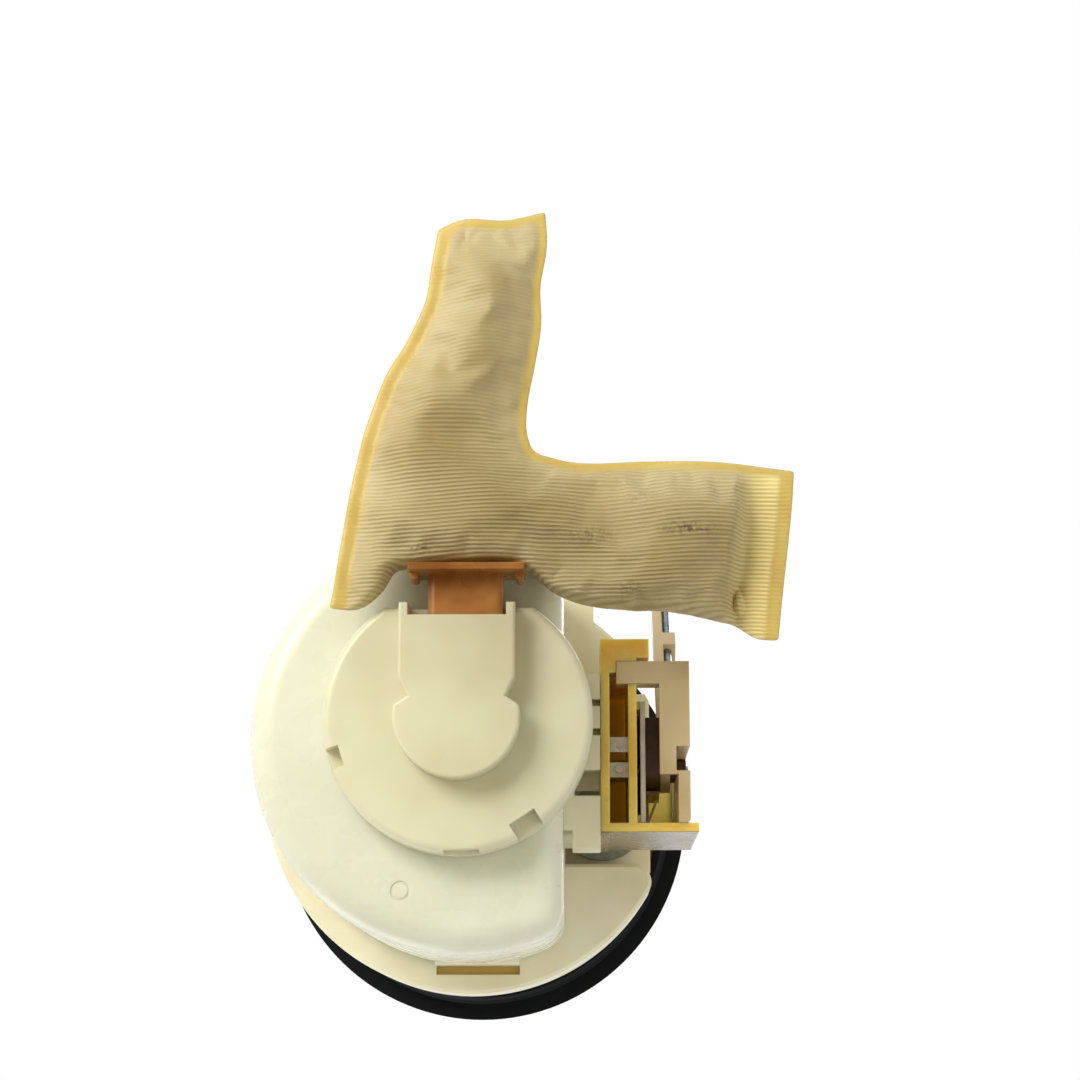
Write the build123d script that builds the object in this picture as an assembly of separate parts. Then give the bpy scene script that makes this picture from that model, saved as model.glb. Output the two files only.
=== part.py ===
from build123d import *
import math
import os

os.makedirs("parts", exist_ok=True)

# Fuel pump module that hangs in a tank from its flange.  All sizes in millimetres, +Z up.
# Origin: tank axis at the lower face of the flange seal, which lies on the tank wall.

# ---------------------------------------------------------------- driving dimensions
# Flange and seal
OPENING_R = 60.2         # hole in the tank wall
SEAL_R = 65.0            # outside of the seal
SEAL_T = 3.5             # seal between tank wall and flange
SEAL_BORE_R = 56.0       # inside of the seal
SEAL_COLLAR_H = 7.0      # part of the seal that hangs in the hole
SEAL_LIP_FIT = 0.2       # radial room of the collar's lips in the hole
FLANGE_T = 4.0           # flange plate
FLANGE_R = 64.0          # flange plate, just inside the seal's edge
CROWN_R = 42.0           # raised middle of the flange
CROWN_H = 4.5
SKIRT_T = 2.4            # pilot skirt under the flange
SKIRT_H = 10.0           # pilot skirt below the tank wall
FLANGE_RIBS = 16

# Outlet spigot, a nominal 5/16 inch quick-connect end
SPIGOT_R = 3.945
SPIGOT_BEAD_R = 4.95
SPIGOT_TIP = 14.0        # from the bead to the tip
SPIGOT_BORE_R = 2.6
SPIGOT_Z = 21.0
SPIGOT_X = 16.0
SPIGOT_TURN_Y = 12.0     # where the spigot turns down through the flange
SPIGOT_END_Y = 59.0
BARB_DROP = 24.0         # hose barb under the flange

# Electrical socket
SOCKET_X = -20.0
SOCKET_Y = 4.0
SOCKET_L = 26.0
SOCKET_W = 14.0
SOCKET_H = 18.0
SOCKET_T = 1.8
PINS = 4
PIN_PITCH = 5.0

# Guide rods, springs and travel
ROD_R = 4.0
ROD_CIRCLE_R = 46.0
ROD_ANGLES = (200.0, 50.0)
ROD_FIT = 0.05           # radial clearance of the rods in their bushes
SPRING_MEAN_R = 6.2
SPRING_WIRE_R = 0.8
SPRING_TURNS = 5

# Carrier
CARRIER_R = 59.5
CARRIER_FACE = -89.0     # underside that the filter case hangs from
CARRIER_H = 27.0
CARRIER_FLOOR_T = 2.5
CARRIER_WALL = 2.2
TOWER_R = 8.0            # bush towers round the guide rods
TOWER_TOP = -40.0
BUSH_H = 10.0            # guiding length at the top of each tower
RECESS_X = 24.0          # recess for the pressure regulator, open towards the level sender
RECESS_LOW_Y = -28.0
RECESS_HIGH_Y = 22.9
RECESS_DEPTH = 19.0
DECK_EDGE_X = 52.0
CARRIER_RIBS = 8
SLOT_X = (-9.6, 14.1)     # slot in the carrier's face for the case's tab
SLOT_W = 2.4

# Filter case
CASE_X = 0.9
CASE_Y = -4.7
CASE_R = 56.2
CASE_FLAT_X = 27.1       # flat side that carries the level sender
CASE_CORNER = 9.0
CASE_EDGE = 7.0
CASE_WALL = 2.2
CASE_H = 73.0
CASE_LOW = CARRIER_FACE - CASE_H
WEB_RISE = 10.0          # floor of the cap recess above the case bottom

# Pump
PUMP_Y = -7.9            # pump axis, X = 0
PUMP_R = 19.0
PUMP_WALL = 1.2
PUMP_LOW = CASE_LOW + 2.0
PUMP_TOP = CARRIER_FACE + 3.0
SHAFT_R = 1.5
SHAFT_FIT = 0.05
RUN_GAP = 0.35           # between turning and still parts
FACE_GAP = 0.1           # between parts that are pressed or stacked together
VANES = 28
SLOTS = 8

# Lower cap and inlet hood
CAP_R = 35.0
CAP_H = 10.0
CAP_T = 2.4
CAP_CHORD = 29.1         # flat side towards the strainer, from the cap's centre
CAP_SKIRT_R = 32.2
CAP_SKIRT_H = 7.0
HOOD_H = 7.0
HOOD_HEAD_R = 16.3
HOOD_W = 30.0
HOOD_WALL = 2.3
HOOD_WAIST_W = 25.2
HOOD_SHOULDER_Y = -17.6
HOOD_WAIST_Y = -12.6
HOOD_HEAD_Y = -10.4      # where the waist's flare meets the round head
ROOF_EDGE_Y = -33.6      # where the hood's roof ends over the neck
PLUG_END = -26.6         # inner end of the strainer's plug in the hood

# Strainer
NECK_X = 2.1
NECK_W = 19.4
NECK_WALL = 1.5
NECK_END_Y = -46.7
NECK_STUB = 3.0          # part of the duct inside the bag's mouth
STRAINER_Z = CASE_LOW - 11.0
STRAINER_SEAM = 1.0      # thickness of the welded border
STRAINER_SKIN = 1.0      # border's width left round the hollow
GRID_HALF = 3.0          # half height of the inner grid
GRID_SPINE = 3.0
GRID_RIB = 1.6
GRID_PITCH = 10.0

# Pressure regulator
REG_X = 38.0
REG_Y = 7.6
REG_R = 13.0
REG_CAN_H = 9.0
REG_NECK_R = 7.6
REG_WALL = 0.9

# Level sender
SENDER_LOW = CASE_LOW + 12.0
SENDER_TOP = CARRIER_FACE - 6.0
PIVOT_Z = SENDER_LOW + 30.0
PIVOT_R = 1.5
SENDER_X = 37.0          # back of the sender's frame
CARD_X = 47.7
CARD_T = 1.3
HUB_R = 7.0
BOSS_R = 3.2             # end of the hub that turns in the cover's slot
LEVER_X = (53.4, 56.2)   # cream lever between hub and cover
LEVER_L = 90.0
LEVER_HALF = 3.0
LEVER_ROOM = 0.6         # between the lever and the carrier
ARM_WIRE_R = 1.25
ARM_X = LEVER_X[1] + ARM_WIRE_R  # plane in which the arm wire swings
ARM_START = 38.0         # the wire starts clear of the cover's corner
HOOK_STARTS = (ARM_START + 3.0, ARM_START + 23.0)
HOOK_L = 6.5
HOOK_T = 1.2
ARM_L = 135.0
ARM_RISE = 48.0          # angle of the arm above level
FLOAT_L = 34.0
FLOAT_W = 28.0
FLOAT_H = 18.0
FLOAT_FIT = 0.05
FLOAT_GAP = 4.6          # between the arm wire and the float's end


# ---------------------------------------------------------------- shapes used by many parts
def disc(radius, low, high, x=0.0, y=0.0):
    """Upright cylinder between two heights."""
    return Pos(x, y, (low + high) / 2) * Cylinder(radius, high - low)


def tube(outer, inner, low, high, x=0.0, y=0.0):
    """Upright tube between two heights."""
    return disc(outer, low, high, x, y) - disc(inner, low - 1, high + 1, x, y)


def block(x, y, z):
    """Box from three (low, high) pairs."""
    size = [side[1] - side[0] for side in (x, y, z)]
    middle = [(side[0] + side[1]) / 2 for side in (x, y, z)]
    return Pos(*middle) * Box(*size)


def upright(sketch, low, high):
    """Sketch on the XY plane raised between two heights."""
    return extrude(Pos(0, 0, low) * sketch, amount=high - low)


def turned(profile, x=0.0, y=0.0):
    """Closed (radius, height) profile turned about an upright axis."""
    face = Plane.XZ * make_face(Polyline(*profile, close=True))
    return Pos(x, y, 0) * revolve(face, Axis.Z)


def cross_disc(radius, left, right, y, z):
    """Cylinder along X between two places."""
    return Pos((left + right) / 2, y, z) * Rot(0, 90, 0) * Cylinder(radius, right - left)


def coil(mean_r, wire_r, low, high, turns, x=0.0, y=0.0, chords=8):
    """Compression spring between two heights, wound in short chords of square wire."""
    count = turns * chords
    rise = (high - low - 2 * wire_r) / count
    points = []
    for index in range(count + 1):
        angle = 2 * math.pi * index / chords
        points.append((mean_r * math.cos(angle), mean_r * math.sin(angle), low + wire_r + rise * index))
    path = Polyline(*points)
    section = Plane(path @ 0, z_dir=path % 0) * Rectangle(1.75 * wire_r, 1.75 * wire_r)
    return Pos(x, y, 0) * sweep(section, path=path, transition=Transition.RIGHT)


def o_ring(mean_r, thick_r, z, x, y):
    """Ring of six-sided section lying level."""
    corners = [(mean_r + thick_r * math.cos(a), z + thick_r * math.sin(a))
               for a in [math.radians(60 * i) for i in range(6)]]
    return turned(corners, x, y)


def rod_places():
    """Centres of the two guide rods."""
    return [
        (ROD_CIRCLE_R * math.cos(math.radians(a)), ROD_CIRCLE_R * math.sin(math.radians(a)))
        for a in ROD_ANGLES
    ]


def swung(angle):
    """Turn about the sender's pivot, from an arm that lies level towards -Y to one raised by the angle."""
    return Pos(0, 0, PIVOT_Z) * Rot(-angle, 0, 0) * Pos(0, 0, -PIVOT_Z)


def arc_piece(outer, inner, low, high, start, stop, x=0.0, y=0.0):
    """Part of a tube between two angles in degrees."""
    outside = CenterArc((0, 0), outer, start, stop - start)
    inside = CenterArc((0, 0), inner, start, stop - start)
    face = make_face([outside, inside, Line(outside @ 0, inside @ 0), Line(outside @ 1, inside @ 1)])
    return Pos(x, y, 0) * upright(face, low, high)


# ---------------------------------------------------------------- flange group
FLANGE_LOW = SEAL_T
FLANGE_TOP = SEAL_T + FLANGE_T
CROWN_TOP = FLANGE_TOP + CROWN_H
SKIRT_R = SEAL_BORE_R - FACE_GAP
CLIP_T = 1.0
CLIP_LOW = TOWER_TOP - BUSH_H - RUN_GAP - CLIP_T
ROD_END = CLIP_LOW - 3.0


def flange_seal():
    """Rubber seal: a flat ring on the tank wall and a collar with two lips in the hole."""
    lip_r = OPENING_R - SEAL_LIP_FIT
    collar_r = lip_r - 0.8
    profile = [
        (SEAL_BORE_R, -SEAL_COLLAR_H), (collar_r - 1.0, -SEAL_COLLAR_H), (collar_r, -5.6), (lip_r, -5.0),
        (collar_r, -4.2), (collar_r, -3.2), (lip_r, -2.5), (collar_r, -1.6), (collar_r, -0.8),
        (lip_r + 0.05, 0.0), (SEAL_R, 0.0), (SEAL_R, SEAL_T), (SEAL_BORE_R, SEAL_T),
    ]
    return turned(profile)


def socket_shell(grow):
    """Footprint of the electrical socket, grown by a wall."""
    return Pos(SOCKET_X, SOCKET_Y) * RectangleRounded(SOCKET_L - 2 * SOCKET_T + 2 * grow,
                                                      SOCKET_W - 2 * SOCKET_T + 2 * grow, 1.5 + grow)


def spigot():
    """Outlet that rises from the flange, turns and ends in a beaded quick-connect end, with its bore."""
    riser = turned([
        (0, CROWN_TOP - 1), (6.5, CROWN_TOP - 1), (6.5, SPIGOT_Z + 5.2), (5.0, SPIGOT_Z + 6.8), (0, SPIGOT_Z + 6.8),
    ], SPIGOT_X, SPIGOT_TURN_Y)
    bead_y = SPIGOT_END_Y - SPIGOT_TIP
    lie = Pos(SPIGOT_X, 0, SPIGOT_Z) * Rot(-90, 0, 0)
    thick = lie * disc(5.6, SPIGOT_TURN_Y, bead_y - 20)
    stem = lie * disc(SPIGOT_R, bead_y - 20, SPIGOT_END_Y)
    bead = lie * turned([
        (0, bead_y - 1.8), (SPIGOT_BEAD_R, bead_y - 1.8), (SPIGOT_BEAD_R, bead_y - 0.6), (SPIGOT_R, bead_y), (0, bead_y),
    ])
    barb = turned([
        (0, CROWN_TOP), (5.0, CROWN_TOP), (5.0, FLANGE_LOW - 6), (3.6, FLANGE_LOW - 6.5), (3.6, -14), (4.6, -14.5),
        (3.6, -18), (4.6, -18.5), (3.6, -BARB_DROP), (0, -BARB_DROP),
    ], SPIGOT_X, SPIGOT_TURN_Y)
    bore = lie * disc(SPIGOT_BORE_R, SPIGOT_TURN_Y - 3, SPIGOT_END_Y + 1)
    bore += disc(SPIGOT_BORE_R - 0.2, -BARB_DROP - 1, SPIGOT_Z + 1.0, SPIGOT_X, SPIGOT_TURN_Y)
    return riser + thick + stem + bead + barb, bore


def flange_plate():
    """Flange with crown, ribs, pilot skirt, rod sockets, electrical socket and outlet spigot."""
    plate = disc(FLANGE_R, FLANGE_LOW, FLANGE_TOP)
    plate = chamfer(plate.edges().group_by(Axis.Z)[-1], 1.2)
    crown = chamfer(disc(CROWN_R, FLANGE_TOP - 1, CROWN_TOP).edges().group_by(Axis.Z)[-1], 1.6)
    skirt = tube(SKIRT_R, SKIRT_R - SKIRT_T, -SKIRT_H, FLANGE_LOW + 1)
    body = plate + crown + skirt
    for index in range(FLANGE_RIBS):
        rib = block((CROWN_R - 2, FLANGE_R - 5), (-0.8, 0.8), (FLANGE_TOP - 1, FLANGE_TOP + 3))
        body += Rot(0, 0, 360 * index / FLANGE_RIBS) * rib
    for x, y in rod_places():
        body += disc(ROD_R + 3, -SKIRT_H + 2, FLANGE_LOW + 1, x, y)
        body -= disc(ROD_R + 0.02, -SKIRT_H, FLANGE_TOP - 1.5, x, y)
    rim = CROWN_TOP + SOCKET_H
    body += upright(socket_shell(SOCKET_T), CROWN_TOP - 1, rim)
    body += block((SOCKET_X - 4, SOCKET_X + 4), (SOCKET_Y + SOCKET_W / 2 - 0.5, SOCKET_Y + SOCKET_W / 2 + 2),
                  (rim - 11, rim - 6))
    body -= upright(socket_shell(0), CROWN_TOP, rim + 1)
    for x in pin_places():
        body -= block((x - 0.8, x + 0.8), (SOCKET_Y - 0.45, SOCKET_Y + 0.45), (FLANGE_LOW - 1, CROWN_TOP + 1))
    outlet, bore = spigot()
    return body + outlet - bore


def pin_places():
    """X of each contact blade in the socket."""
    return [SOCKET_X + PIN_PITCH * (i - (PINS - 1) / 2) for i in range(PINS)]


def connector_pins():
    """Flat contact blades that pass through the flange, with tapered tips."""
    blades = Part()
    for x in pin_places():
        blade = block((x - 0.75, x + 0.75), (SOCKET_Y - 0.4, SOCKET_Y + 0.4), (-5, CROWN_TOP + SOCKET_H - 5))
        blades += chamfer(blade.faces().sort_by(Axis.Z)[-1].edges(), 0.25)
    return blades


def guide_rods():
    """Two steel rods pressed into the flange, with a ring groove near the lower end."""
    rods = Part()
    for x, y in rod_places():
        rod = disc(ROD_R, ROD_END, FLANGE_TOP - 1.6, x, y)
        rod = chamfer(rod.edges().group_by(Axis.Z)[0], 0.6)
        rods += rod - tube(ROD_R + 1, ROD_R - 0.6, CLIP_LOW, CLIP_LOW + CLIP_T, x, y)
    return rods


def rod_clips():
    """Snap rings in the rod grooves, on which the pump unit hangs."""
    clips = Part()
    for x, y in rod_places():
        clips += arc_piece(ROD_R + 2.2, ROD_R - 0.55, CLIP_LOW + 0.02, CLIP_LOW + CLIP_T - 0.02, 25, 335, x, y)
    return clips


def height_springs():
    """Coil springs round the rods that press the pump unit onto the tank bottom."""
    springs = Part()
    for x, y in rod_places():
        springs += coil(SPRING_MEAN_R, SPRING_WIRE_R, TOWER_TOP, -SKIRT_H + 2, SPRING_TURNS, x, y)
    return springs


# ---------------------------------------------------------------- carrier
CARRIER_TOP = CARRIER_FACE + CARRIER_H
CARRIER_FLOOR = CARRIER_FACE + CARRIER_FLOOR_T
DECK_LOW = CARRIER_FACE + RECESS_DEPTH
PUMP_HOLE_R = PUMP_R + 1.5
OUTLET_X = -24.0         # clean-fuel outlet of the filter case
OUTLET_Y = 24.0


def carrier_outline():
    """Round footprint with the regulator recess cut from its sender side."""
    recess = Pos(RECESS_X + CARRIER_R / 2, (RECESS_LOW_Y + RECESS_HIGH_Y) / 2) * Rectangle(
        CARRIER_R, RECESS_HIGH_Y - RECESS_LOW_Y)
    outline = Circle(CARRIER_R) - recess
    outline = fillet(outline.vertices().filter_by(lambda v: v.X > RECESS_X + 10), 5.0)
    return fillet(outline.vertices().filter_by(lambda v: abs(v.X - RECESS_X) < 0.1), 3.0)


def lever_side():
    """Ground on the sender side that the float's lever needs, which the carrier stays out of."""
    room = Rectangle(2 * CARRIER_R, 2 * CARRIER_R)
    return Pos(LEVER_X[0] - LEVER_ROOM + CARRIER_R, RECESS_LOW_Y - CARRIER_R) * room


def rod_tower(x, y):
    """Bush for a guide rod above a chamber in which its snap ring travels, with a fitting window."""
    solid = disc(TOWER_R, CARRIER_FLOOR - 1, TOWER_TOP, x, y)
    hollow = disc(ROD_R + ROD_FIT, TOWER_TOP - BUSH_H - 1, TOWER_TOP + 1, x, y)
    hollow += disc(ROD_R + 2.8, CARRIER_FLOOR, TOWER_TOP - BUSH_H, x, y)
    turn = math.degrees(math.atan2(y, x))
    window = Pos(x, y, 0) * Rot(0, 0, turn) * block(
        (0, TOWER_R + 1), (-ROD_R - 2.5, ROD_R + 2.5), (TOWER_TOP - BUSH_H - 10, TOWER_TOP - BUSH_H))
    return solid, hollow + window


def carrier():
    """Ribbed cup that slides on the guide rods and carries case, pump and regulator."""
    floor = upright(carrier_outline(), CARRIER_FACE, CARRIER_FLOOR)
    floor = chamfer(floor.faces().sort_by(Axis.Z)[0].outer_wire().edges(), 0.9)
    floor -= upright(lever_side(), CARRIER_FACE - 1, CARRIER_FLOOR + 1)
    outline = carrier_outline() - lever_side()
    wall = upright(outline - offset(outline, amount=-CARRIER_WALL), CARRIER_FLOOR - 0.5, CARRIER_TOP)
    body = floor + wall
    inside = upright(offset(outline, amount=-CARRIER_WALL / 2), CARRIER_FLOOR - 0.5, CARRIER_TOP - 10)
    ribs = Part()
    for index in range(CARRIER_RIBS):
        rib = block((PUMP_HOLE_R, 2 * CARRIER_R), (-0.8, 0.8), (CARRIER_FLOOR - 0.5, CARRIER_TOP - 12))
        ribs += Pos(0, PUMP_Y, 0) * Rot(0, 0, 360 * (index + 0.5) / CARRIER_RIBS) * rib
    body += ribs & inside
    body += tube(PUMP_HOLE_R + 2, PUMP_HOLE_R, CARRIER_FLOOR - 0.5, CARRIER_TOP - 8, 0, PUMP_Y)
    body -= disc(PUMP_HOLE_R, CARRIER_FACE - 1, CARRIER_TOP, 0, PUMP_Y)
    body -= disc(6.0, CARRIER_FACE - 1, CARRIER_TOP, OUTLET_X, OUTLET_Y)
    for x, y in rod_places():
        tower, hollow = rod_tower(x, y)
        body = body + tower - hollow
    deck = block((RECESS_X - 1, DECK_EDGE_X), (RECESS_LOW_Y - 1, RECESS_HIGH_Y + 1), (DECK_LOW, DECK_LOW + 2.5))
    body += deck & upright(Circle(CARRIER_R - 1), DECK_LOW - 1, DECK_LOW + 4)
    body += disc(REG_NECK_R + 3, DECK_LOW, CARRIER_TOP, REG_X, REG_Y)
    body -= disc(REG_NECK_R + FACE_GAP, DECK_LOW - 1, CARRIER_TOP + 1, REG_X, REG_Y)
    body -= disc(REG_NECK_R + 1.4, DECK_LOW - 1, DECK_LOW + 3, REG_X, REG_Y)
    ear = block((18, 35.5), (-57, -42), (CARRIER_FACE, CARRIER_TOP - 9))
    body += ear - upright(offset(outline, amount=-CARRIER_WALL), CARRIER_FLOOR, CARRIER_TOP)
    slot_y = CASE_Y + CASE_R + 0.3
    return body - block(SLOT_X, (slot_y, slot_y + SLOT_W), (CARRIER_FACE - 1, CARRIER_FACE + 1.6))


# ---------------------------------------------------------------- filter case and filter
WEB_LOW = CASE_LOW + WEB_RISE
CAP_CLEAR = 0.3
CASE_BORE_R = PUMP_R + 1.2
CASE_TUBE_R = CASE_BORE_R + CASE_WALL
LID_T = 2.6


def case_outline(inset=0.0):
    """Circle flattened on the sender side with round corners; inset moves it all inwards."""
    half = Pos(CASE_FLAT_X - inset - 2 * CASE_R, CASE_Y) * Rectangle(4 * CASE_R, 4 * CASE_R)
    shape = (Pos(CASE_X, CASE_Y) * Circle(CASE_R - inset)) & half
    return fillet(shape.vertices(), CASE_CORNER - inset)


def cap_outline(radius, chord):
    """Circle round the pump axis with a flat towards the strainer."""
    half = Pos(0, PUMP_Y - chord + 2 * CAP_R) * Rectangle(4 * CAP_R, 4 * CAP_R)
    return (Pos(0, PUMP_Y) * Circle(radius)) & half


def filter_case():
    """D-shaped moulded case: outer shell, recess for the lower cap and inner tube for the pump."""
    shell = upright(case_outline(), CASE_LOW, CARRIER_FACE)
    shell = fillet(shell.faces().sort_by(Axis.Z)[0].outer_wire().edges(), CASE_EDGE)
    room = upright(case_outline(CASE_WALL), CASE_LOW + CASE_WALL, CARRIER_FACE + 1)
    room = fillet(room.faces().sort_by(Axis.Z)[0].outer_wire().edges(), CASE_EDGE - CASE_WALL)
    recess_r = CAP_SKIRT_R + CAP_CLEAR
    room -= upright(cap_outline(recess_r + CASE_WALL, CAP_CHORD + CASE_WALL), CASE_LOW - 1, WEB_LOW + CASE_WALL)
    room -= disc(CASE_TUBE_R, CASE_LOW - 1, CARRIER_FACE + 2, 0, PUMP_Y)
    body = shell - room
    body -= upright(cap_outline(recess_r, CAP_CHORD - CAP_T), CASE_LOW - 1, WEB_LOW)
    body -= disc(CASE_BORE_R, CASE_LOW - 1, CARRIER_FACE + 1, 0, PUMP_Y)
    tab_y = CASE_Y + CASE_R
    body += block(SLOT_X, (tab_y - CASE_WALL, tab_y + 0.2), (CARRIER_FACE - 8, CARRIER_FACE))
    gate = tube(2.6, 1.9, CASE_LOW - 1, CASE_LOW + 0.3, -15.0, 35.7)
    return body - gate


def case_lid():
    """Welded lid of the filter case with the clean-fuel outlet."""
    low = CARRIER_FACE - LID_T
    plate = upright(case_outline(CASE_WALL + FACE_GAP), low, CARRIER_FACE - 0.1)
    plate -= disc(CASE_TUBE_R + FACE_GAP, low - 1, CARRIER_FACE + 1, 0, PUMP_Y)
    stub = turned([
        (0, low), (4.6, low), (4.6, CARRIER_TOP - 12), (3.6, CARRIER_TOP - 11.5), (3.6, CARRIER_TOP - 8),
        (4.6, CARRIER_TOP - 7.5), (3.6, CARRIER_TOP - 4), (0, CARRIER_TOP - 4),
    ], OUTLET_X, OUTLET_Y)
    return plate + stub - disc(2.4, low - 1, CARRIER_TOP, OUTLET_X, OUTLET_Y)


FILTER_LOW = WEB_LOW + CASE_WALL + 0.3
FILTER_HIGH = CARRIER_FACE - LID_T - 0.3
FILTER_START = 68.0      # the pleated pack leaves the flat side of the case free
PLEATS = 36


def filter_element():
    """Pleated paper pack round the pump tube, open on the flat side of the case."""
    inner_r = CASE_TUBE_R + 2.5
    tip_r, root_r = CASE_R - CASE_WALL - 6.0, CASE_R - CASE_WALL - 17.0
    stop = 360.0 - FILTER_START
    step = (stop - FILTER_START) / (2 * PLEATS)
    rim = []
    for index in range(2 * PLEATS + 1):
        angle = math.radians(FILTER_START + step * index)
        radius = tip_r if index % 2 else root_r
        rim.append((radius * math.cos(angle), radius * math.sin(angle)))
    arc = CenterArc((0, 0), inner_r, FILTER_START, stop - FILTER_START)
    outer = Polyline(*rim)
    face = make_face([outer, arc, Line(arc @ 0, outer @ 0), Line(arc @ 1, outer @ 1)])
    return Pos(0, PUMP_Y, 0) * upright(face, FILTER_LOW + 1.5, FILTER_HIGH - 1.5)


def filter_end_plates():
    """Two plastic end plates that close the pleats."""
    plates = Part()
    for low in (FILTER_LOW, FILTER_HIGH - 1.5):
        plates += arc_piece(CASE_R - CASE_WALL - 5.0, CASE_TUBE_R + 0.3, low, low + 1.5,
                            FILTER_START - 1, 361 - FILTER_START, 0, PUMP_Y)
    return plates


# ---------------------------------------------------------------- pump
PUMP_IN_R = PUMP_R - PUMP_WALL
LIP = 1.0
INLET_TOP = PUMP_LOW + LIP + 5.0
IMPELLER_T = 3.0
IMPELLER_R = 15.0
PLATE_LOW = INLET_TOP + IMPELLER_T + 2 * RUN_GAP
PLATE_TOP = PLATE_LOW + 4.0
BUSH_R = 4.2
CORE_LOW = PLATE_TOP + 9.0
CORE_H = PUMP_TOP - PUMP_LOW - 47.0
CORE_R = 12.4
HOLDER_LOW = CORE_LOW + CORE_H + 5.0
COVER_LOW = PUMP_TOP - 6.0
COVER_TOP = PUMP_TOP - LIP
COMMUTATOR_R = 5.0
BRUSH = 4.0
BRUSH_Z = (HOLDER_LOW + COVER_LOW) / 2
NOZZLE_X = 8.5
INLET_X = 9.6
NOZZLE_TOP = CARRIER_TOP - 6.0
VALVE_SEAT = COVER_TOP + 2.0
VALVE_R = 2.6


def pump_shell():
    """Drawn steel shell, crimped over the covers at both ends."""
    r, inner = PUMP_R, PUMP_IN_R
    return turned([
        (inner - 1.6, PUMP_LOW), (r - 0.8, PUMP_LOW), (r, PUMP_LOW + 0.8), (r, PUMP_TOP - 0.8), (r - 0.8, PUMP_TOP),
        (inner - 1.6, PUMP_TOP), (inner - 1.6, COVER_TOP + 0.05), (inner, COVER_TOP + 0.05),
        (inner, PUMP_LOW + LIP - 0.05), (inner - 1.6, PUMP_LOW + LIP - 0.05),
    ], 0, PUMP_Y)


def pump_inlet_cover():
    """Cast lower cover with inlet nozzle, fuel channel and blind thrust bearing."""
    low = PUMP_LOW + LIP
    body = disc(PUMP_IN_R - FACE_GAP, low, INLET_TOP, 0, PUMP_Y)
    nozzle = turned([
        (0, low + 0.5), (5.8, low + 0.5), (5.8, PUMP_LOW - 3), (5.2, PUMP_LOW - 4.5), (0, PUMP_LOW - 4.5),
    ], INLET_X, PUMP_Y)
    body += nozzle
    body -= disc(2.2, PUMP_LOW - 5, INLET_TOP + 1, INLET_X + 1.2, PUMP_Y)
    body -= disc(4.0, PUMP_LOW - 5, low + 1, INLET_X, PUMP_Y)
    body -= arc_piece(IMPELLER_R - 0.5, IMPELLER_R - 3.5, INLET_TOP - 1.2, INLET_TOP + 1, 0, 290, 0, PUMP_Y)
    return body - disc(SHAFT_R + SHAFT_FIT, INLET_TOP - 3, INLET_TOP + 1, 0, PUMP_Y)


def impeller():
    """Vaned disc that drives the fuel round its channel."""
    low = INLET_TOP + RUN_GAP
    body = disc(IMPELLER_R, low, low + IMPELLER_T, 0, PUMP_Y)
    body -= disc(SHAFT_R + 0.02, low - 1, low + IMPELLER_T + 1, 0, PUMP_Y)
    vanes = Part()
    for index in range(VANES):
        gap = block((IMPELLER_R - 3.0, IMPELLER_R + 1), (-0.8, 0.8), (low - 1, low + IMPELLER_T + 1))
        vanes += Pos(0, PUMP_Y, 0) * Rot(0, 0, 360 * index / VANES) * gap
    return body - vanes


def pump_plate():
    """Upper half of the pump chamber with the lower shaft bush's seat and the outlet port."""
    body = disc(PUMP_IN_R - FACE_GAP, INLET_TOP, PLATE_TOP, 0, PUMP_Y)
    body -= disc(IMPELLER_R + RUN_GAP, INLET_TOP - 1, PLATE_LOW, 0, PUMP_Y)
    body -= disc(BUSH_R + 0.02, PLATE_LOW - 1, PLATE_TOP + 1, 0, PUMP_Y)
    return body - disc(1.8, PLATE_LOW - 1, PLATE_TOP + 1, 0, PUMP_Y + 12.5)


def shaft_bushes():
    """Two sintered bushes that carry the shaft."""
    lower = tube(BUSH_R, SHAFT_R + SHAFT_FIT, PLATE_LOW, PLATE_TOP, 0, PUMP_Y)
    return lower + tube(BUSH_R, SHAFT_R + SHAFT_FIT, COVER_LOW, COVER_LOW + 4, 0, PUMP_Y)


def pump_shaft():
    """Ground steel shaft."""
    shaft = disc(SHAFT_R, INLET_TOP - 2.6, COVER_LOW + 3.6, 0, PUMP_Y)
    return chamfer(shaft.edges().filter_by(GeomType.CIRCLE), 0.3)


def armature_core():
    """Laminated core with its winding slots."""
    body = tube(CORE_R, SHAFT_R + 0.02, CORE_LOW, CORE_LOW + CORE_H, 0, PUMP_Y)
    slots = Part()
    for index in range(SLOTS):
        slot = block((5.5, CORE_R - 1.5), (-1.6, 1.6), (CORE_LOW - 1, CORE_LOW + CORE_H + 1))
        mouth = block((CORE_R - 2, CORE_R + 1), (-0.6, 0.6), (CORE_LOW - 1, CORE_LOW + CORE_H + 1))
        slots += Pos(0, PUMP_Y, 0) * Rot(0, 0, 360 * (index + 0.5) / SLOTS) * (slot + mouth)
    return body - slots


def armature_coils():
    """Copper windings: bars in the slots joined by end rings."""
    low, high = CORE_LOW, CORE_LOW + CORE_H
    coils = turned([(3, low - 0.1), (11, low - 0.1), (10, low - 3.5), (6, low - 4.2), (3, low - 2)], 0, PUMP_Y)
    coils += turned([(3, high + 0.1), (11, high + 0.1), (10, high + 3.0), (6, high + 3.6), (5.4, high + 2)],
                    0, PUMP_Y)
    for index in range(SLOTS):
        bar = block((5.7, CORE_R - 1.8), (-1.4, 1.4), (low - 1, high + 1))
        coils += Pos(0, PUMP_Y, 0) * Rot(0, 0, 360 * (index + 0.5) / SLOTS) * bar
    return coils - disc(SHAFT_R + 0.5, low - 9, high + 9, 0, PUMP_Y)


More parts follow.
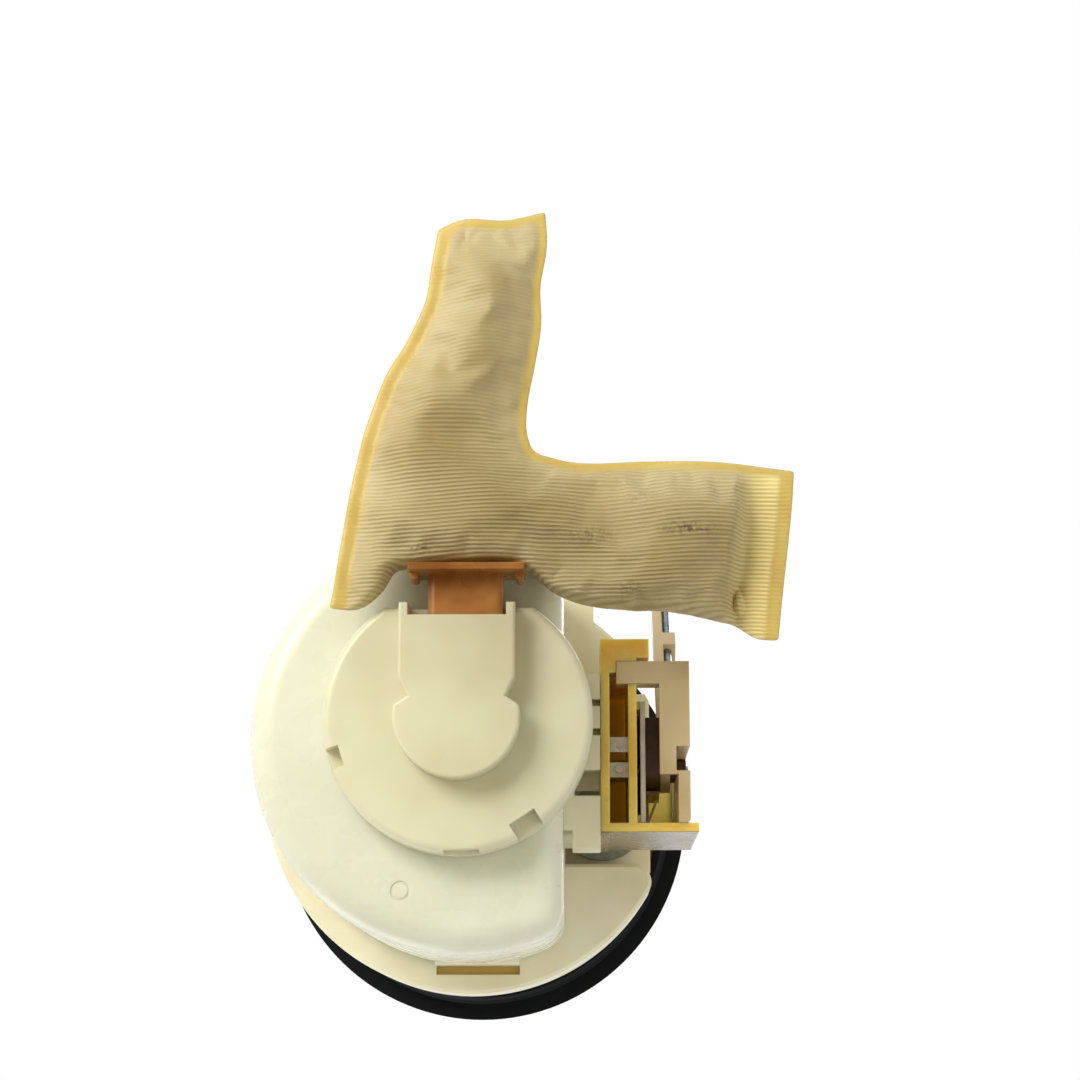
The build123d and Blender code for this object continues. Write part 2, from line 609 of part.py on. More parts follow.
def commutator():
    """Copper segments on the shaft, on which the brushes run."""
    low = CORE_LOW + CORE_H + 4.2
    body = tube(COMMUTATOR_R, SHAFT_R + 0.02, low, COVER_LOW - 0.6, 0, PUMP_Y)
    cuts = Part()
    for index in range(SLOTS):
        cut = block((COMMUTATOR_R - 1, COMMUTATOR_R + 1), (-0.25, 0.25), (low - 1, COVER_LOW))
        cuts += Pos(0, PUMP_Y, 0) * Rot(0, 0, 360 * index / SLOTS) * cut
    return body - cuts


def magnets():
    """Two arc magnets against the inside of the shell."""
    low, high = CORE_LOW - 2, CORE_LOW + CORE_H + 2
    pair = Part()
    for start in (12.0, 192.0):
        pair += arc_piece(PUMP_IN_R - FACE_GAP, CORE_R + 0.6, low, high, start, start + 156, 0, PUMP_Y)
    return pair


def brush_slot(grow):
    """Radial channel for one brush, along +X from the pump axis."""
    half = BRUSH / 2 + grow
    return block((COMMUTATOR_R - 1, 15), (-half, half), (BRUSH_Z - half, BRUSH_Z + half))


def pump_end_cover():
    """Moulded upper cover with brush holder, bush seat and outlet nozzle with the check valve's seat."""
    body = disc(PUMP_IN_R - FACE_GAP, COVER_LOW, COVER_TOP, 0, PUMP_Y)
    body += tube(14.0, COMMUTATOR_R + 1.0, HOLDER_LOW, COVER_LOW + 0.5, 0, PUMP_Y)
    for side in (0, 180):
        body -= Pos(0, PUMP_Y, 0) * Rot(0, 0, side) * brush_slot(0.1)
    body -= disc(BUSH_R + 0.02, COVER_LOW - 1, COVER_LOW + 4, 0, PUMP_Y)
    nozzle = turned([
        (0, COVER_TOP - 1), (5.4, COVER_TOP - 1), (5.4, VALVE_SEAT + 5), (4.8, VALVE_SEAT + 5.5),
        (4.8, NOZZLE_TOP - 7), (5.8, NOZZLE_TOP - 6.5), (4.8, NOZZLE_TOP), (0, NOZZLE_TOP),
    ], NOZZLE_X, PUMP_Y)
    body += nozzle
    body += block((-14, -5), (PUMP_Y - 7, PUMP_Y + 7), (COVER_TOP - 0.5, COVER_TOP + 2.5))
    body -= disc(1.6, COVER_LOW - 1, VALVE_SEAT + 1, NOZZLE_X, PUMP_Y)
    body -= disc(VALVE_R + 0.6, VALVE_SEAT, NOZZLE_TOP + 1, NOZZLE_X, PUMP_Y)
    for y in terminal_places():
        body -= block((-12.2, -7.8), (y - 0.5, y + 0.5), (COVER_TOP - 2, COVER_TOP + 3))
    return body


def terminal_places():
    """Y of the two pump terminals."""
    return [PUMP_Y - 4.0, PUMP_Y + 4.0]


def pump_terminals():
    """Two blades for the motor leads."""
    blades = Part()
    for y in terminal_places():
        blade = block((-12.1, -7.9), (y - 0.4, y + 0.4), (COVER_TOP - 2, COVER_TOP + 11))
        blades += chamfer(blade.faces().sort_by(Axis.Z)[-1].edges(), 0.3)
    return blades


def brushes():
    """Two carbon brushes beside the commutator."""
    pair = Part()
    for side in (0, 180):
        half = BRUSH / 2
        brush = block((COMMUTATOR_R + RUN_GAP, 11), (-half, half), (BRUSH_Z - half, BRUSH_Z + half))
        pair += Pos(0, PUMP_Y, 0) * Rot(0, 0, side) * brush
    return pair


def brush_springs():
    """Coil springs that press the brushes inwards."""
    pair = Part()
    for side in (0, 180):
        spring = Pos(0, 0, BRUSH_Z) * Rot(0, 90, 0) * coil(1.4, 0.3, 11.05, 14.6, 3, chords=6)
        pair += Pos(0, PUMP_Y, 0) * Rot(0, 0, side) * spring
    return pair


def check_valve():
    """Mushroom that closes the pump outlet, with a guided stem."""
    seat = VALVE_SEAT + RUN_GAP
    return turned([
        (0, seat - 1.2), (0.8, seat - 1.2), (1.3, seat), (VALVE_R, seat), (VALVE_R, seat + 1.2), (1.0, seat + 1.8),
        (1.0, seat + 9.0), (0, seat + 9.0),
    ], NOZZLE_X, PUMP_Y)


def check_valve_guide():
    """Ring in the outlet nozzle that guides the valve stem and lets fuel by."""
    low = VALVE_SEAT + 7.0
    body = tube(VALVE_R + 0.6 - 0.02, 1.0 + SHAFT_FIT, low, low + 1.6, NOZZLE_X, PUMP_Y)
    for index in range(3):
        port = Pos(NOZZLE_X, PUMP_Y, 0) * Rot(0, 0, 120 * index) * disc(0.5, low - 1, low + 3, 2.1, 0)
        body -= port
    return body


def check_valve_spring():
    """Light spring that closes the check valve."""
    return coil(1.7, 0.25, VALVE_SEAT + RUN_GAP + 1.9, VALVE_SEAT + 7.0, 4, NOZZLE_X, PUMP_Y, chords=6)


def pump_cushion():
    """Rubber ring on which the pump stands in the lower cap."""
    return tube(PUMP_R - 0.6, PUMP_R - 4.6, PUMP_LOW - 3, PUMP_LOW, 0, PUMP_Y) - disc(
        6.6, PUMP_LOW - 4, PUMP_LOW + 1, INLET_X, PUMP_Y)


def pump_seal():
    """Ring that seals the pump in the tube of the filter case."""
    middle = WEB_LOW + 6.0
    thick = (CASE_BORE_R - PUMP_R) / 2 - 0.02
    return o_ring(PUMP_R + thick + 0.02, thick, middle, 0, PUMP_Y)


# ---------------------------------------------------------------- lower cap
CAP_FACE = CASE_LOW - CAP_H
CAP_IN_R = CAP_SKIRT_R - CAP_T
HOOD_FACE = CAP_FACE - HOOD_H
MOUTH_HALF = HOOD_W / 2 - HOOD_WALL
MOUTH_TOP = CASE_LOW - 5.4
SKIRT_CHORD = CAP_CHORD - CAP_T - CAP_CLEAR
SEAL_GROOVE = 1.1


def keyhole(inset=0.0):
    """Outline of the hood: a straight duct that narrows to a waist and opens to a round head."""
    top = PUMP_Y - CAP_CHORD
    side, narrow, head_r = HOOD_W / 2 - inset, HOOD_WAIST_W / 2 - inset, HOOD_HEAD_R - inset
    head_x = math.sqrt(head_r**2 - (HOOD_HEAD_Y - PUMP_Y) ** 2)
    right = [(side, top), (side, HOOD_SHOULDER_Y), (narrow, HOOD_WAIST_Y), (head_x, HOOD_HEAD_Y)]
    left = [(-x, y) for x, y in reversed(right)]
    head = ThreePointArc(right[-1], (0, PUMP_Y + head_r), left[0])
    shape = make_face([Polyline(*right), head, Polyline(*left), Line(left[-1], right[0])])
    rounded = shape.vertices().filter_by(lambda v: v.Y in (HOOD_SHOULDER_Y, HOOD_HEAD_Y))
    return fillet(rounded, 2.0)


def cap_notches():
    """Three small notches in the cap's rim for the closing tool."""
    notches = Part()
    for angle, width, depth in ((162.0, 5.6, 3.6), (57.0, 7.6, 4.6), (88.0, 9.0, 1.2)):
        notch = block((CAP_R - depth, CAP_R + 1), (-width / 2, width / 2), (CAP_FACE - 1, CAP_FACE + 4.5))
        notches += Pos(0, PUMP_Y, 0) * Rot(0, 0, angle) * notch
    return notches


def lower_cap():
    """Cap that closes the case below, holds the pump and carries the hood over the strainer's neck."""
    rim = upright(cap_outline(CAP_R, CAP_CHORD), CAP_FACE, CASE_LOW)
    rim = fillet(rim.faces().sort_by(Axis.Z)[0].outer_wire().edges(), 2.2)
    skirt = upright(cap_outline(CAP_SKIRT_R, SKIRT_CHORD), CASE_LOW - 0.5, CASE_LOW + CAP_SKIRT_H)
    hood = upright(keyhole(), HOOD_FACE, CAP_FACE + 0.5)
    hood = fillet(hood.faces().sort_by(Axis.Z)[0].outer_wire().edges(), 0.8)
    body = rim + skirt + hood
    inside = cap_outline(CAP_IN_R, SKIRT_CHORD - CAP_T)
    body -= upright(inside, CAP_FACE + CAP_T, CASE_LOW + CAP_SKIRT_H + 1)
    body -= upright(keyhole(HOOD_WALL) & inside, HOOD_FACE + HOOD_WALL, CAP_FACE + CAP_T + 1)
    mouth_y = PUMP_Y - CAP_CHORD
    body -= block((-MOUTH_HALF, MOUTH_HALF), (mouth_y - 1, PLUG_END + 1.5), (HOOD_FACE + HOOD_WALL, MOUTH_TOP))
    body -= block((-MOUTH_HALF, MOUTH_HALF), (mouth_y - 1, ROOF_EDGE_Y), (HOOD_FACE - 1, HOOD_FACE + HOOD_WALL + 1))
    stand = tube(PUMP_R - 1.0, PUMP_R - 3.4, CAP_FACE + CAP_T - 0.5, PUMP_LOW - 3, 0, PUMP_Y)
    for index in range(4):
        gap = block((0, CAP_R), (-4.5, 4.5), (CAP_FACE + CAP_T, PUMP_LOW))
        stand -= Pos(0, PUMP_Y, 0) * Rot(0, 0, 90 * index) * gap
    body += stand
    groove = cap_outline(CAP_SKIRT_R + 1, SKIRT_CHORD + 1)
    groove -= cap_outline(CAP_SKIRT_R - SEAL_GROOVE, SKIRT_CHORD - SEAL_GROOVE)
    return body - upright(groove, CASE_LOW + 2.5, CASE_LOW + 4.7) - cap_notches()


def cap_seal():
    """O-ring in the groove of the cap's skirt."""
    low = CASE_LOW + 2.6
    ring = cap_outline(CAP_SKIRT_R + CAP_CLEAR - 0.05, SKIRT_CHORD + CAP_CLEAR - 0.05)
    ring -= cap_outline(CAP_SKIRT_R - SEAL_GROOVE + 0.05, SKIRT_CHORD - SEAL_GROOVE + 0.05)
    return upright(ring, low, low + 2.0)


# ---------------------------------------------------------------- strainer
NECK_LOW = HOOD_FACE + HOOD_WALL + 0.4
NECK_HIGH = MOUTH_TOP - 0.4


def rounded_duct(width, low, high, start_y, end_y, corner):
    """Flat duct along Y with rounded corners."""
    face = Pos(NECK_X, 0, (low + high) / 2) * (Plane.XZ * RectangleRounded(width, high - low, corner))
    return extrude(Pos(0, start_y, 0) * face, amount=start_y - end_y)


def strainer_neck():
    """Brown duct from the strainer: plug in the hood, flat neck, welding plate and two posts."""
    plug_half = MOUTH_HALF - 0.4
    plug = block((-plug_half, plug_half), (ROOF_EDGE_Y + 0.6, PLUG_END), (NECK_LOW, NECK_HIGH))
    duct = rounded_duct(NECK_W, NECK_LOW, NECK_HIGH, PLUG_END - 1, NECK_END_Y - NECK_STUB, 2.0)
    plate = block((-12.5, 17.4), (NECK_END_Y, NECK_END_Y + 1.8), (NECK_LOW - 5.5, NECK_HIGH + 1.0))
    body = plug + duct + plate
    for x in (-11.2, 16.1):
        post = Pos(x, NECK_END_Y + 2.6, (NECK_LOW + NECK_HIGH) / 2 - 2) * Cylinder(1.1, 9.0)
        body += post
    hollow = rounded_duct(NECK_W - 2 * NECK_WALL, NECK_LOW + NECK_WALL, NECK_HIGH - NECK_WALL,
                          PLUG_END + 1, NECK_END_Y - NECK_STUB - 1, 1.0)
    return body - hollow


# Sections of the stuffed bag: place along the leg, its two edges across, how far the second edge runs on
# along the leg where the end is cut askew, and the half thickness.
TRUNK = (
    (-134.8, -4.6, 22.2, -5.3, 1.8), (-119.0, -7.5, 21.0, 0, 7.0), (-98.0, -17.8, 19.5, 0, 9.5),
    (-78.0, -25.5, 17.8, 0, 10.0), (-60.0, -29.0, 19.0, 0, 9.5), (NECK_END_Y - 0.3, -14.0, 18.5, 0, 9.0),
)
RIGHT_LEG = (
    (2.0, -78.0, -53.0, 0, 8.0), (18.5, -76.0, -48.6, 0, 9.0), (32.0, -74.8, -40.0, 0, 9.5),
    (48.0, -74.3, -36.2, 0, 9.5), (68.0, -73.5, -32.5, 0, 8.0), (86.0, -71.7, -27.3, -4.2, 1.8),
)
LEFT_WING = ((-62.0, -28.6, -6.0, 0, 8.0), (-48.0, -31.4, -15.0, 0, 5.5), (-36.3, -33.3, -25.0, 0, 1.6))


def lens(low, high, askew, half_t, place, along_y, inset):
    """Pointed oval across a leg of the bag, with a narrow flat at each edge for the weld."""
    edge = STRAINER_SEAM / 2
    low, high, half_t = low + inset, high - inset, half_t - inset / 2
    turn = math.atan2(askew, high - low)
    across, forward = ((1, 0), (0, 1)) if along_y else ((0, 1), (1, 0))
    first = [place * f + low * a for f, a in zip(forward, across)]
    run = [math.sin(turn) * f + math.cos(turn) * a for f, a in zip(forward, across)]
    width = (high - low) / math.cos(turn)
    upper = ThreePointArc((0, edge), (width / 2, half_t), (width, edge))
    lower = ThreePointArc((width, -edge), (width / 2, -half_t), (0, -edge))
    face = make_face([upper, Line((width, edge), (width, -edge)), lower, Line((0, -edge), (0, edge))])
    normal = Vector(*run, 0).cross(Vector(0, 0, 1))
    return Plane(origin=(*first, STRAINER_Z), x_dir=(*run, 0), z_dir=normal) * face


def stuffed(sections, along_y, inset, ends):
    """Leg of the bag lofted through its sections; the inset leaves the skin and the welded ends."""
    faces = []
    last = len(sections) - 1
    for index, (place, low, high, askew, half_t) in enumerate(sections):
        inward = math.copysign(1, sections[last][0] - sections[0][0])
        shift = inset * (ends[0] * (index == 0) - ends[1] * (index == last)) * inward
        faces.append(lens(low, high, askew, half_t, place + shift, along_y, inset))
    return loft(faces)


def bag_form(inset):
    """Trunk, right leg and left wing of the bag joined to one form."""
    form = stuffed(TRUNK, True, inset, (1, 0))
    form += stuffed(RIGHT_LEG, False, inset, (0, 1))
    return form + stuffed(LEFT_WING, True, inset, (0, 1))


def strainer_bag():
    """Woven strainer bag as a stuffed shell with welded borders, open at the neck."""
    mouth = rounded_duct(NECK_W + 0.4, NECK_LOW - 0.2, NECK_HIGH + 0.2, NECK_END_Y + 2, NECK_END_Y - 9, 2.1)
    return bag_form(0.0) - bag_form(STRAINER_SKIN) - mouth


def strainer_frame():
    """Ribbed grid inside the bag that keeps its two faces apart: two spines with cross ribs."""
    z = (STRAINER_Z - GRID_HALF, STRAINER_Z + GRID_HALF)
    spine_x, spine_y = (2.0, 2.0 + GRID_SPINE), (-58.0, -58.0 + GRID_SPINE)
    trunk_end, leg_end = TRUNK[0][0] + 12.8, RIGHT_LEG[-1][0] - 18.0
    bars = block(spine_x, (trunk_end, spine_y[0]), z) + block((spine_x[0], leg_end), spine_y, z)
    for index in range(5):
        y = trunk_end + GRID_PITCH * (index + 1)
        bars += block((spine_x[0] - 4, spine_x[1] + 5), (y, y + GRID_RIB), z)
    for index in range(6):
        x = spine_x[0] + GRID_PITCH * (index + 1)
        bars += block((x, x + GRID_RIB), (spine_y[0] - 6, spine_y[1] + 2), z)
    return bars


# ---------------------------------------------------------------- pressure regulator
REG_TOP = DECK_LOW - 0.1
REG_SPLIT = REG_TOP - 3.0
REG_LOW = REG_SPLIT - REG_CAN_H


def regulator_body():
    """Upper half of the regulator: flanged shell and neck with the valve seat."""
    return turned([
        (1.6, REG_SPLIT + 1.2), (REG_R - 0.6, REG_SPLIT + 1.2), (REG_R - 0.6, REG_TOP), (REG_NECK_R, REG_TOP),
        (REG_NECK_R, REG_TOP + 12), (REG_NECK_R - 1.2, REG_TOP + 12), (REG_NECK_R - 1.2, REG_TOP - 0.6),
        (1.6, REG_TOP - 0.6),
    ], REG_X, REG_Y)


def regulator_can():
    """Drawn steel cup that holds the spring, crimped round the upper half."""
    r, t = REG_R, REG_WALL
    return turned([
        (2.0, REG_LOW), (r - 4, REG_LOW), (r - 2.6, REG_LOW + 1), (r - 2.6, REG_SPLIT - 1.6), (r, REG_SPLIT - 1.6),
        (r, REG_TOP), (r - 0.5, REG_TOP), (r - 0.5, REG_SPLIT - 0.6), (r - 2.6 - t, REG_SPLIT - 0.6),
        (r - 2.6 - t, REG_LOW + 1.5), (r - 4.2, REG_LOW + t), (2.0, REG_LOW + t),
    ], REG_X, REG_Y)


def regulator_diaphragm():
    """Thin rubber ring clamped between the halves."""
    return tube(REG_R - 0.6, REG_R - 3.4, REG_SPLIT - 0.5, REG_SPLIT + 1.1, REG_X, REG_Y)


def regulator_valve():
    """Spring plate with the valve ball that moves down when the pressure is too high."""
    top = REG_SPLIT + 1.2 - RUN_GAP
    plate = turned([
        (0, top - 2.4), (7.5, top - 2.4), (7.5, top - 1.4), (3.0, top - 1.4), (2.4, top), (0, top),
    ], REG_X, REG_Y)
    return plate


def regulator_spring():
    """Spring that sets the fuel pressure."""
    return coil(5.6, 0.6, REG_LOW + REG_WALL, REG_SPLIT + 1.2 - RUN_GAP - 2.45, 3, REG_X, REG_Y)


def regulator_ring():
    """O-ring round the regulator's neck."""
    return o_ring(REG_NECK_R + 0.66, 0.62, DECK_LOW + 1.4, REG_X, REG_Y)


def regulator_clip():
    """Spring-steel clip over the carrier that holds the regulator up."""
    low = CARRIER_TOP + 0.1
    ring = arc_piece(REG_NECK_R + 2.4, REG_NECK_R + 0.05, low, low + 1.0, 30, 330, REG_X, REG_Y)
    return ring


# ---------------------------------------------------------------- level sender
CARD_Y = (-16.0, 16.4)
CARD_Z = (SENDER_LOW + 6.0, SENDER_TOP - 5.0)
WALL_X = (44.4, 46.6)
HUB_X = (CARD_X + CARD_T + RUN_GAP, LEVER_X[0] - FACE_GAP)
COVER_X = (57.6, 60.7)
COVER_Y = (-26.0, 17.0)
BAR_X = (41.3, 60.2)     # cross bar of the cover at the sender's lower end
BAR_Y = (COVER_Y[0], COVER_Y[0] + 6.0)
BAR_H = 8.0
RAIL_Y = (17.1, 19.5)    # lower rail of the frame
BRACKET_X = 30.0         # outside of the bracket's plate


def sender_bracket():
    """Cream rail on the flat side of the case that the sender's frame clips to."""
    plate = block((CASE_FLAT_X, BRACKET_X), (-24.0, 19.0), (SENDER_LOW, SENDER_TOP))
    seat = (BRACKET_X - 0.5, SENDER_X - FACE_GAP)
    upper = block(seat, (-22.6, 3.1), (SENDER_LOW, SENDER_TOP - 4))
    upper -= block((seat[0] + 2, seat[1] - 2), (-20.6, 1.1), (SENDER_LOW + 6, SENDER_TOP))
    for y in (-15.8, -8.0):
        upper -= block((seat[0] + 3, seat[1] + 1), (y, y + 1.8), (SENDER_LOW - 1, SENDER_LOW + 4))
    lower = block(seat, (9.9, 24.0), (SENDER_LOW, SENDER_LOW + 12))
    return plate + upper + lower


def sender_frame():
    """Amber moulded frame: back plate, card wall, end web, upper block and lower rail."""
    z = (SENDER_LOW, SENDER_TOP)
    body = block((SENDER_X, SENDER_X + 2.4), (-30.5, 20.0), z)
    body += block((SENDER_X, 50.0), (-32.0, -27.0), (SENDER_LOW, SENDER_TOP - 10))
    body += block(WALL_X, (-25.0, 18.0), z)
    body += block((SENDER_X, WALL_X[1]), (-25.0, 18.0), (SENDER_TOP - 4, SENDER_TOP))
    body += block((WALL_X[0], COVER_X[0] - FACE_GAP), (-13.0, 18.0), (SENDER_TOP - 2, SENDER_TOP))
    body += block((SENDER_X, WALL_X[1]), (-28.0, -23.0), z)
    body += block((SENDER_X + 1, 62.8), RAIL_Y, z)
    for y in (CARD_Y[0], CARD_Y[1] - 2.0):
        body += block((WALL_X[1] - 0.2, CARD_X), (y, y + 2.0), CARD_Z)
    body += cross_disc(3.0, SENDER_X + 1, WALL_X[1] + 0.5, 0, PIVOT_Z)
    body -= block((BAR_X[0] - FACE_GAP, BAR_X[1]), (BAR_Y[0] - FACE_GAP, BAR_Y[1] + FACE_GAP),
                  (SENDER_LOW - 1, SENDER_LOW + BAR_H + FACE_GAP))
    return body - cross_disc(PIVOT_R + 0.02, SENDER_X + 0.5, WALL_X[1] + 2, 0, PIVOT_Z)


def sender_cover():
    """Cream outer wall that guards the wiper, slotted for the hub's boss."""
    wall = block(COVER_X, COVER_Y, (SENDER_LOW, SENDER_TOP))
    wall = fillet(wall.edges().filter_by(Axis.Z).sort_by(Axis.X)[-2:], 1.2)
    wall += block((COVER_X[0] - 4.9, COVER_X[1]), (COVER_Y[0], 4.2), (SENDER_LOW, SENDER_LOW + 2.5))
    wall += block(BAR_X, BAR_Y, (SENDER_LOW, SENDER_LOW + BAR_H))
    across = (COVER_X[0] - 0.5, COVER_X[1] + 1)
    slot = BOSS_R + SHAFT_FIT
    wall -= block(across, (-slot, slot), (SENDER_LOW - 1, PIVOT_Z)) + cross_disc(slot, *across, 0, PIVOT_Z)
    return wall - block(across, (-10.0, 10.0), (PIVOT_Z + 10, SENDER_TOP - 3))


def pivot_pin():
    """Steel pin on which the float arm's hub turns."""
    return cross_disc(PIVOT_R, SENDER_X + 1.0, COVER_X[1] + 0.6, 0, PIVOT_Z)


def resistor_card():
    """Ceramic card with the printed resistor track."""
    card = block((CARD_X, CARD_X + CARD_T), CARD_Y, CARD_Z)
    return card - cross_disc(4.0, CARD_X - 1, CARD_X + CARD_T + 1, 0, PIVOT_Z)


def sender_terminals():
    """Two soldered tags and rivets that take the level signal off the card."""
    tags = Part()
    low = SENDER_LOW + 6.0
    for y in (-4.4, 2.4):
        tags += block((SENDER_X + 2.4, WALL_X[0]), (y - 2.0, y + 2.0), (low, low + 1))
        tags += disc(0.9, low - 1.4, low + 1, SENDER_X + 5, y)
    return tags


def arm_hub():
    """Brown contact carrier with the boss that turns in the cover's slot."""
    hub = cross_disc(HUB_R, *HUB_X, 0, PIVOT_Z)
    hub += cross_disc(BOSS_R, HUB_X[1] - 0.5, COVER_X[1], 0, PIVOT_Z)
    hub += block(HUB_X, (-2 * HUB_R, 0), (PIVOT_Z - HUB_R, PIVOT_Z))
    hub += block((HUB_X[1] - 0.5, LEVER_X[1]), (-2 * HUB_R, -HUB_R), (PIVOT_Z - HUB_R, PIVOT_Z - 1))
    return hub - cross_disc(PIVOT_R + SHAFT_FIT, HUB_X[0] - 1, COVER_X[1] + 1, 0, PIVOT_Z)


def arm_line(radius, start_y, end_y):
    """Straight run of the arm wire along -Y while the arm is level."""
    return Pos(ARM_X, (start_y + end_y) / 2, PIVOT_Z) * Rot(90, 0, 0) * Cylinder(radius, abs(end_y - start_y))


def arm_clip():
    """Cream lever on the hub's boss, with two hooks that hold the wire along its side."""
    level = (PIVOT_Z - LEVER_HALF, PIVOT_Z + LEVER_HALF)
    body = cross_disc(2 * LEVER_HALF, *LEVER_X, 0, PIVOT_Z) + block(LEVER_X, (-LEVER_L, 0), level)
    for start in HOOK_STARTS:
        body += block((LEVER_X[1] - 0.5, ARM_X + ARM_WIRE_R + HOOK_T), (-start - HOOK_L, -start), level)
    body -= arm_line(ARM_WIRE_R + 0.02, -ARM_START, -LEVER_L - 1)
    return swung(ARM_RISE) * (body - cross_disc(BOSS_R + 0.02, LEVER_X[0] - 1, LEVER_X[1] + 1, 0, PIVOT_Z))


def arm_wire():
    """Steel wire from the lever to the float, bent square at the float."""
    path = FilletPolyline((ARM_X, -ARM_START, PIVOT_Z), (ARM_X, -ARM_L, PIVOT_Z),
                          (float_centre_x() + FLOAT_L / 2 - 2.0, -ARM_L, PIVOT_Z), radius=4 * ARM_WIRE_R)
    section = Plane(path @ 0, z_dir=path % 0) * Circle(ARM_WIRE_R)
    return swung(ARM_RISE) * sweep(section, path=path)


def contact_wiper():
    """Two thin brass fingers on the hub that run over the resistor track, one straight and one slanting."""
    thick, tip_y, near, far = 0.7, 15.2, HUB_X[0] + 0.2, HUB_X[1] - 0.8
    fingers = Part()
    for turn, root_x in ((-9.0, near), (9.0, far)):
        finger = make_face(Polyline((root_x, HUB_R + 0.4), (root_x + thick, HUB_R + 0.4), (near + thick, tip_y),
                                    (near, tip_y), close=True))
        fingers += Rot(turn, 0, 0) * upright(finger, -0.5, 0.5)
    tip = block((near - 0.22, near + thick), (tip_y - 0.4, tip_y + 1), (-3.2, 3.2))
    root = block((near, far + thick), (HUB_R + 0.02, HUB_R + 1.2), (-3.0, 3.0))
    return Pos(0, 0, PIVOT_Z) * Rot(-15.0, 0, 0) * (fingers + tip + root)


def float_centre_x():
    """Middle of the float along its pivot."""
    return ARM_X + ARM_WIRE_R + FLOAT_GAP + FLOAT_L / 2


def sender_float():
    """Closed-cell float with rounded edges and a bore for the wire's end."""
    angle = math.radians(ARM_RISE)
    y, z = -ARM_L * math.cos(angle), PIVOT_Z + ARM_L * math.sin(angle)
    body = Pos(float_centre_x(), y, z) * Box(FLOAT_L, FLOAT_W, FLOAT_H)
    body = fillet(body.edges().filter_by(Axis.X), 4.0)
    body = chamfer(body.faces().sort_by(Axis.X)[0].edges() + body.faces().sort_by(Axis.X)[-1].edges(), 1.2)
    left, right = float_centre_x() - FLOAT_L / 2 - 1, float_centre_x() + FLOAT_L / 2 + 1
    return body - cross_disc(ARM_WIRE_R + FLOAT_FIT, left, right, y, z)


# ---------------------------------------------------------------- the assembly
PARTS = {
    "flange_plate": flange_plate,
    "flange_seal": flange_seal,
    "connector_pins": connector_pins,
    "guide_rods": guide_rods,
    "rod_clips": rod_clips,
    "height_springs": height_springs,
    "carrier": carrier,
    "filter_case": filter_case,
    "case_lid": case_lid,
    "filter_element": filter_element,
    "filter_end_plates": filter_end_plates,
    "pump_shell": pump_shell,
    "pump_inlet_cover": pump_inlet_cover,
    "pump_plate": pump_plate,
    "pump_end_cover": pump_end_cover,
    "pump_terminals": pump_terminals,
    "magnets": magnets,
    "shaft_bushes": shaft_bushes,
    "brushes": brushes,
    "brush_springs": brush_springs,
    "pump_cushion": pump_cushion,
    "pump_seal": pump_seal,
    "pump_shaft": pump_shaft,
    "impeller": impeller,
    "armature_core": armature_core,
    "armature_coils": armature_coils,
    "commutator": commutator,
    "check_valve": check_valve,
    "check_valve_guide": check_valve_guide,
    "check_valve_spring": check_valve_spring,
    "lower_cap": lower_cap,
    "cap_seal": cap_seal,
    "strainer_neck": strainer_neck,
    "strainer_frame": strainer_frame,
    "strainer_bag": strainer_bag,
    "regulator_body": regulator_body,
    "regulator_can": regulator_can,
    "regulator_diaphragm": regulator_diaphragm,
    "regulator_valve": regulator_valve,
    "regulator_spring": regulator_spring,
    "regulator_ring": regulator_ring,
    "regulator_clip": regulator_clip,
    "sender_bracket": sender_bracket,
    "sender_frame": sender_frame,
    "sender_cover": sender_cover,
    "pivot_pin": pivot_pin,
    "resistor_card": resistor_card,
    "sender_terminals": sender_terminals,
    "arm_hub": arm_hub,
    "contact_wiper": contact_wiper,
    "arm_wire": arm_wire,
    "arm_clip": arm_clip,
    "float": sender_float,
}

for name, make in PARTS.items():
    export_step(make(), f"parts/{name}.step")
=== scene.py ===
import bpy
import numpy as np
from mathutils import Matrix, Vector
from mathutils.geometry import delaunay_2d_cdt


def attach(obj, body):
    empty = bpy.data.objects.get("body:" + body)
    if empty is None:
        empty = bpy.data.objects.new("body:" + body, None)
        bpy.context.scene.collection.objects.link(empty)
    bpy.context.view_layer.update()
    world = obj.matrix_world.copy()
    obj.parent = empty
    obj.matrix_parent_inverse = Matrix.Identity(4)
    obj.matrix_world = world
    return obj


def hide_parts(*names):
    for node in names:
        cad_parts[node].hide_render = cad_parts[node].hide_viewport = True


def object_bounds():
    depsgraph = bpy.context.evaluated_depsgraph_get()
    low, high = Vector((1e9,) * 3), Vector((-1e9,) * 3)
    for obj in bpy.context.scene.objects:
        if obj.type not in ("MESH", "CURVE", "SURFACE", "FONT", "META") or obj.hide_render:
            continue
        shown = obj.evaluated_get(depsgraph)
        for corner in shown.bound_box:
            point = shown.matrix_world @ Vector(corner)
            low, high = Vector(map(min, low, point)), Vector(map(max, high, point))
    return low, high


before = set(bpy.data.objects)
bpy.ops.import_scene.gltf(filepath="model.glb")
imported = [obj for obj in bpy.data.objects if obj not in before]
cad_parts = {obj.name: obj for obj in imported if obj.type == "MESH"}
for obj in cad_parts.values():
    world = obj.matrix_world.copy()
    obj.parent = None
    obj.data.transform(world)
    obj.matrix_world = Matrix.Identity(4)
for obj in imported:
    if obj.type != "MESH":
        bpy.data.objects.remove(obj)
cad_low, cad_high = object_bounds()

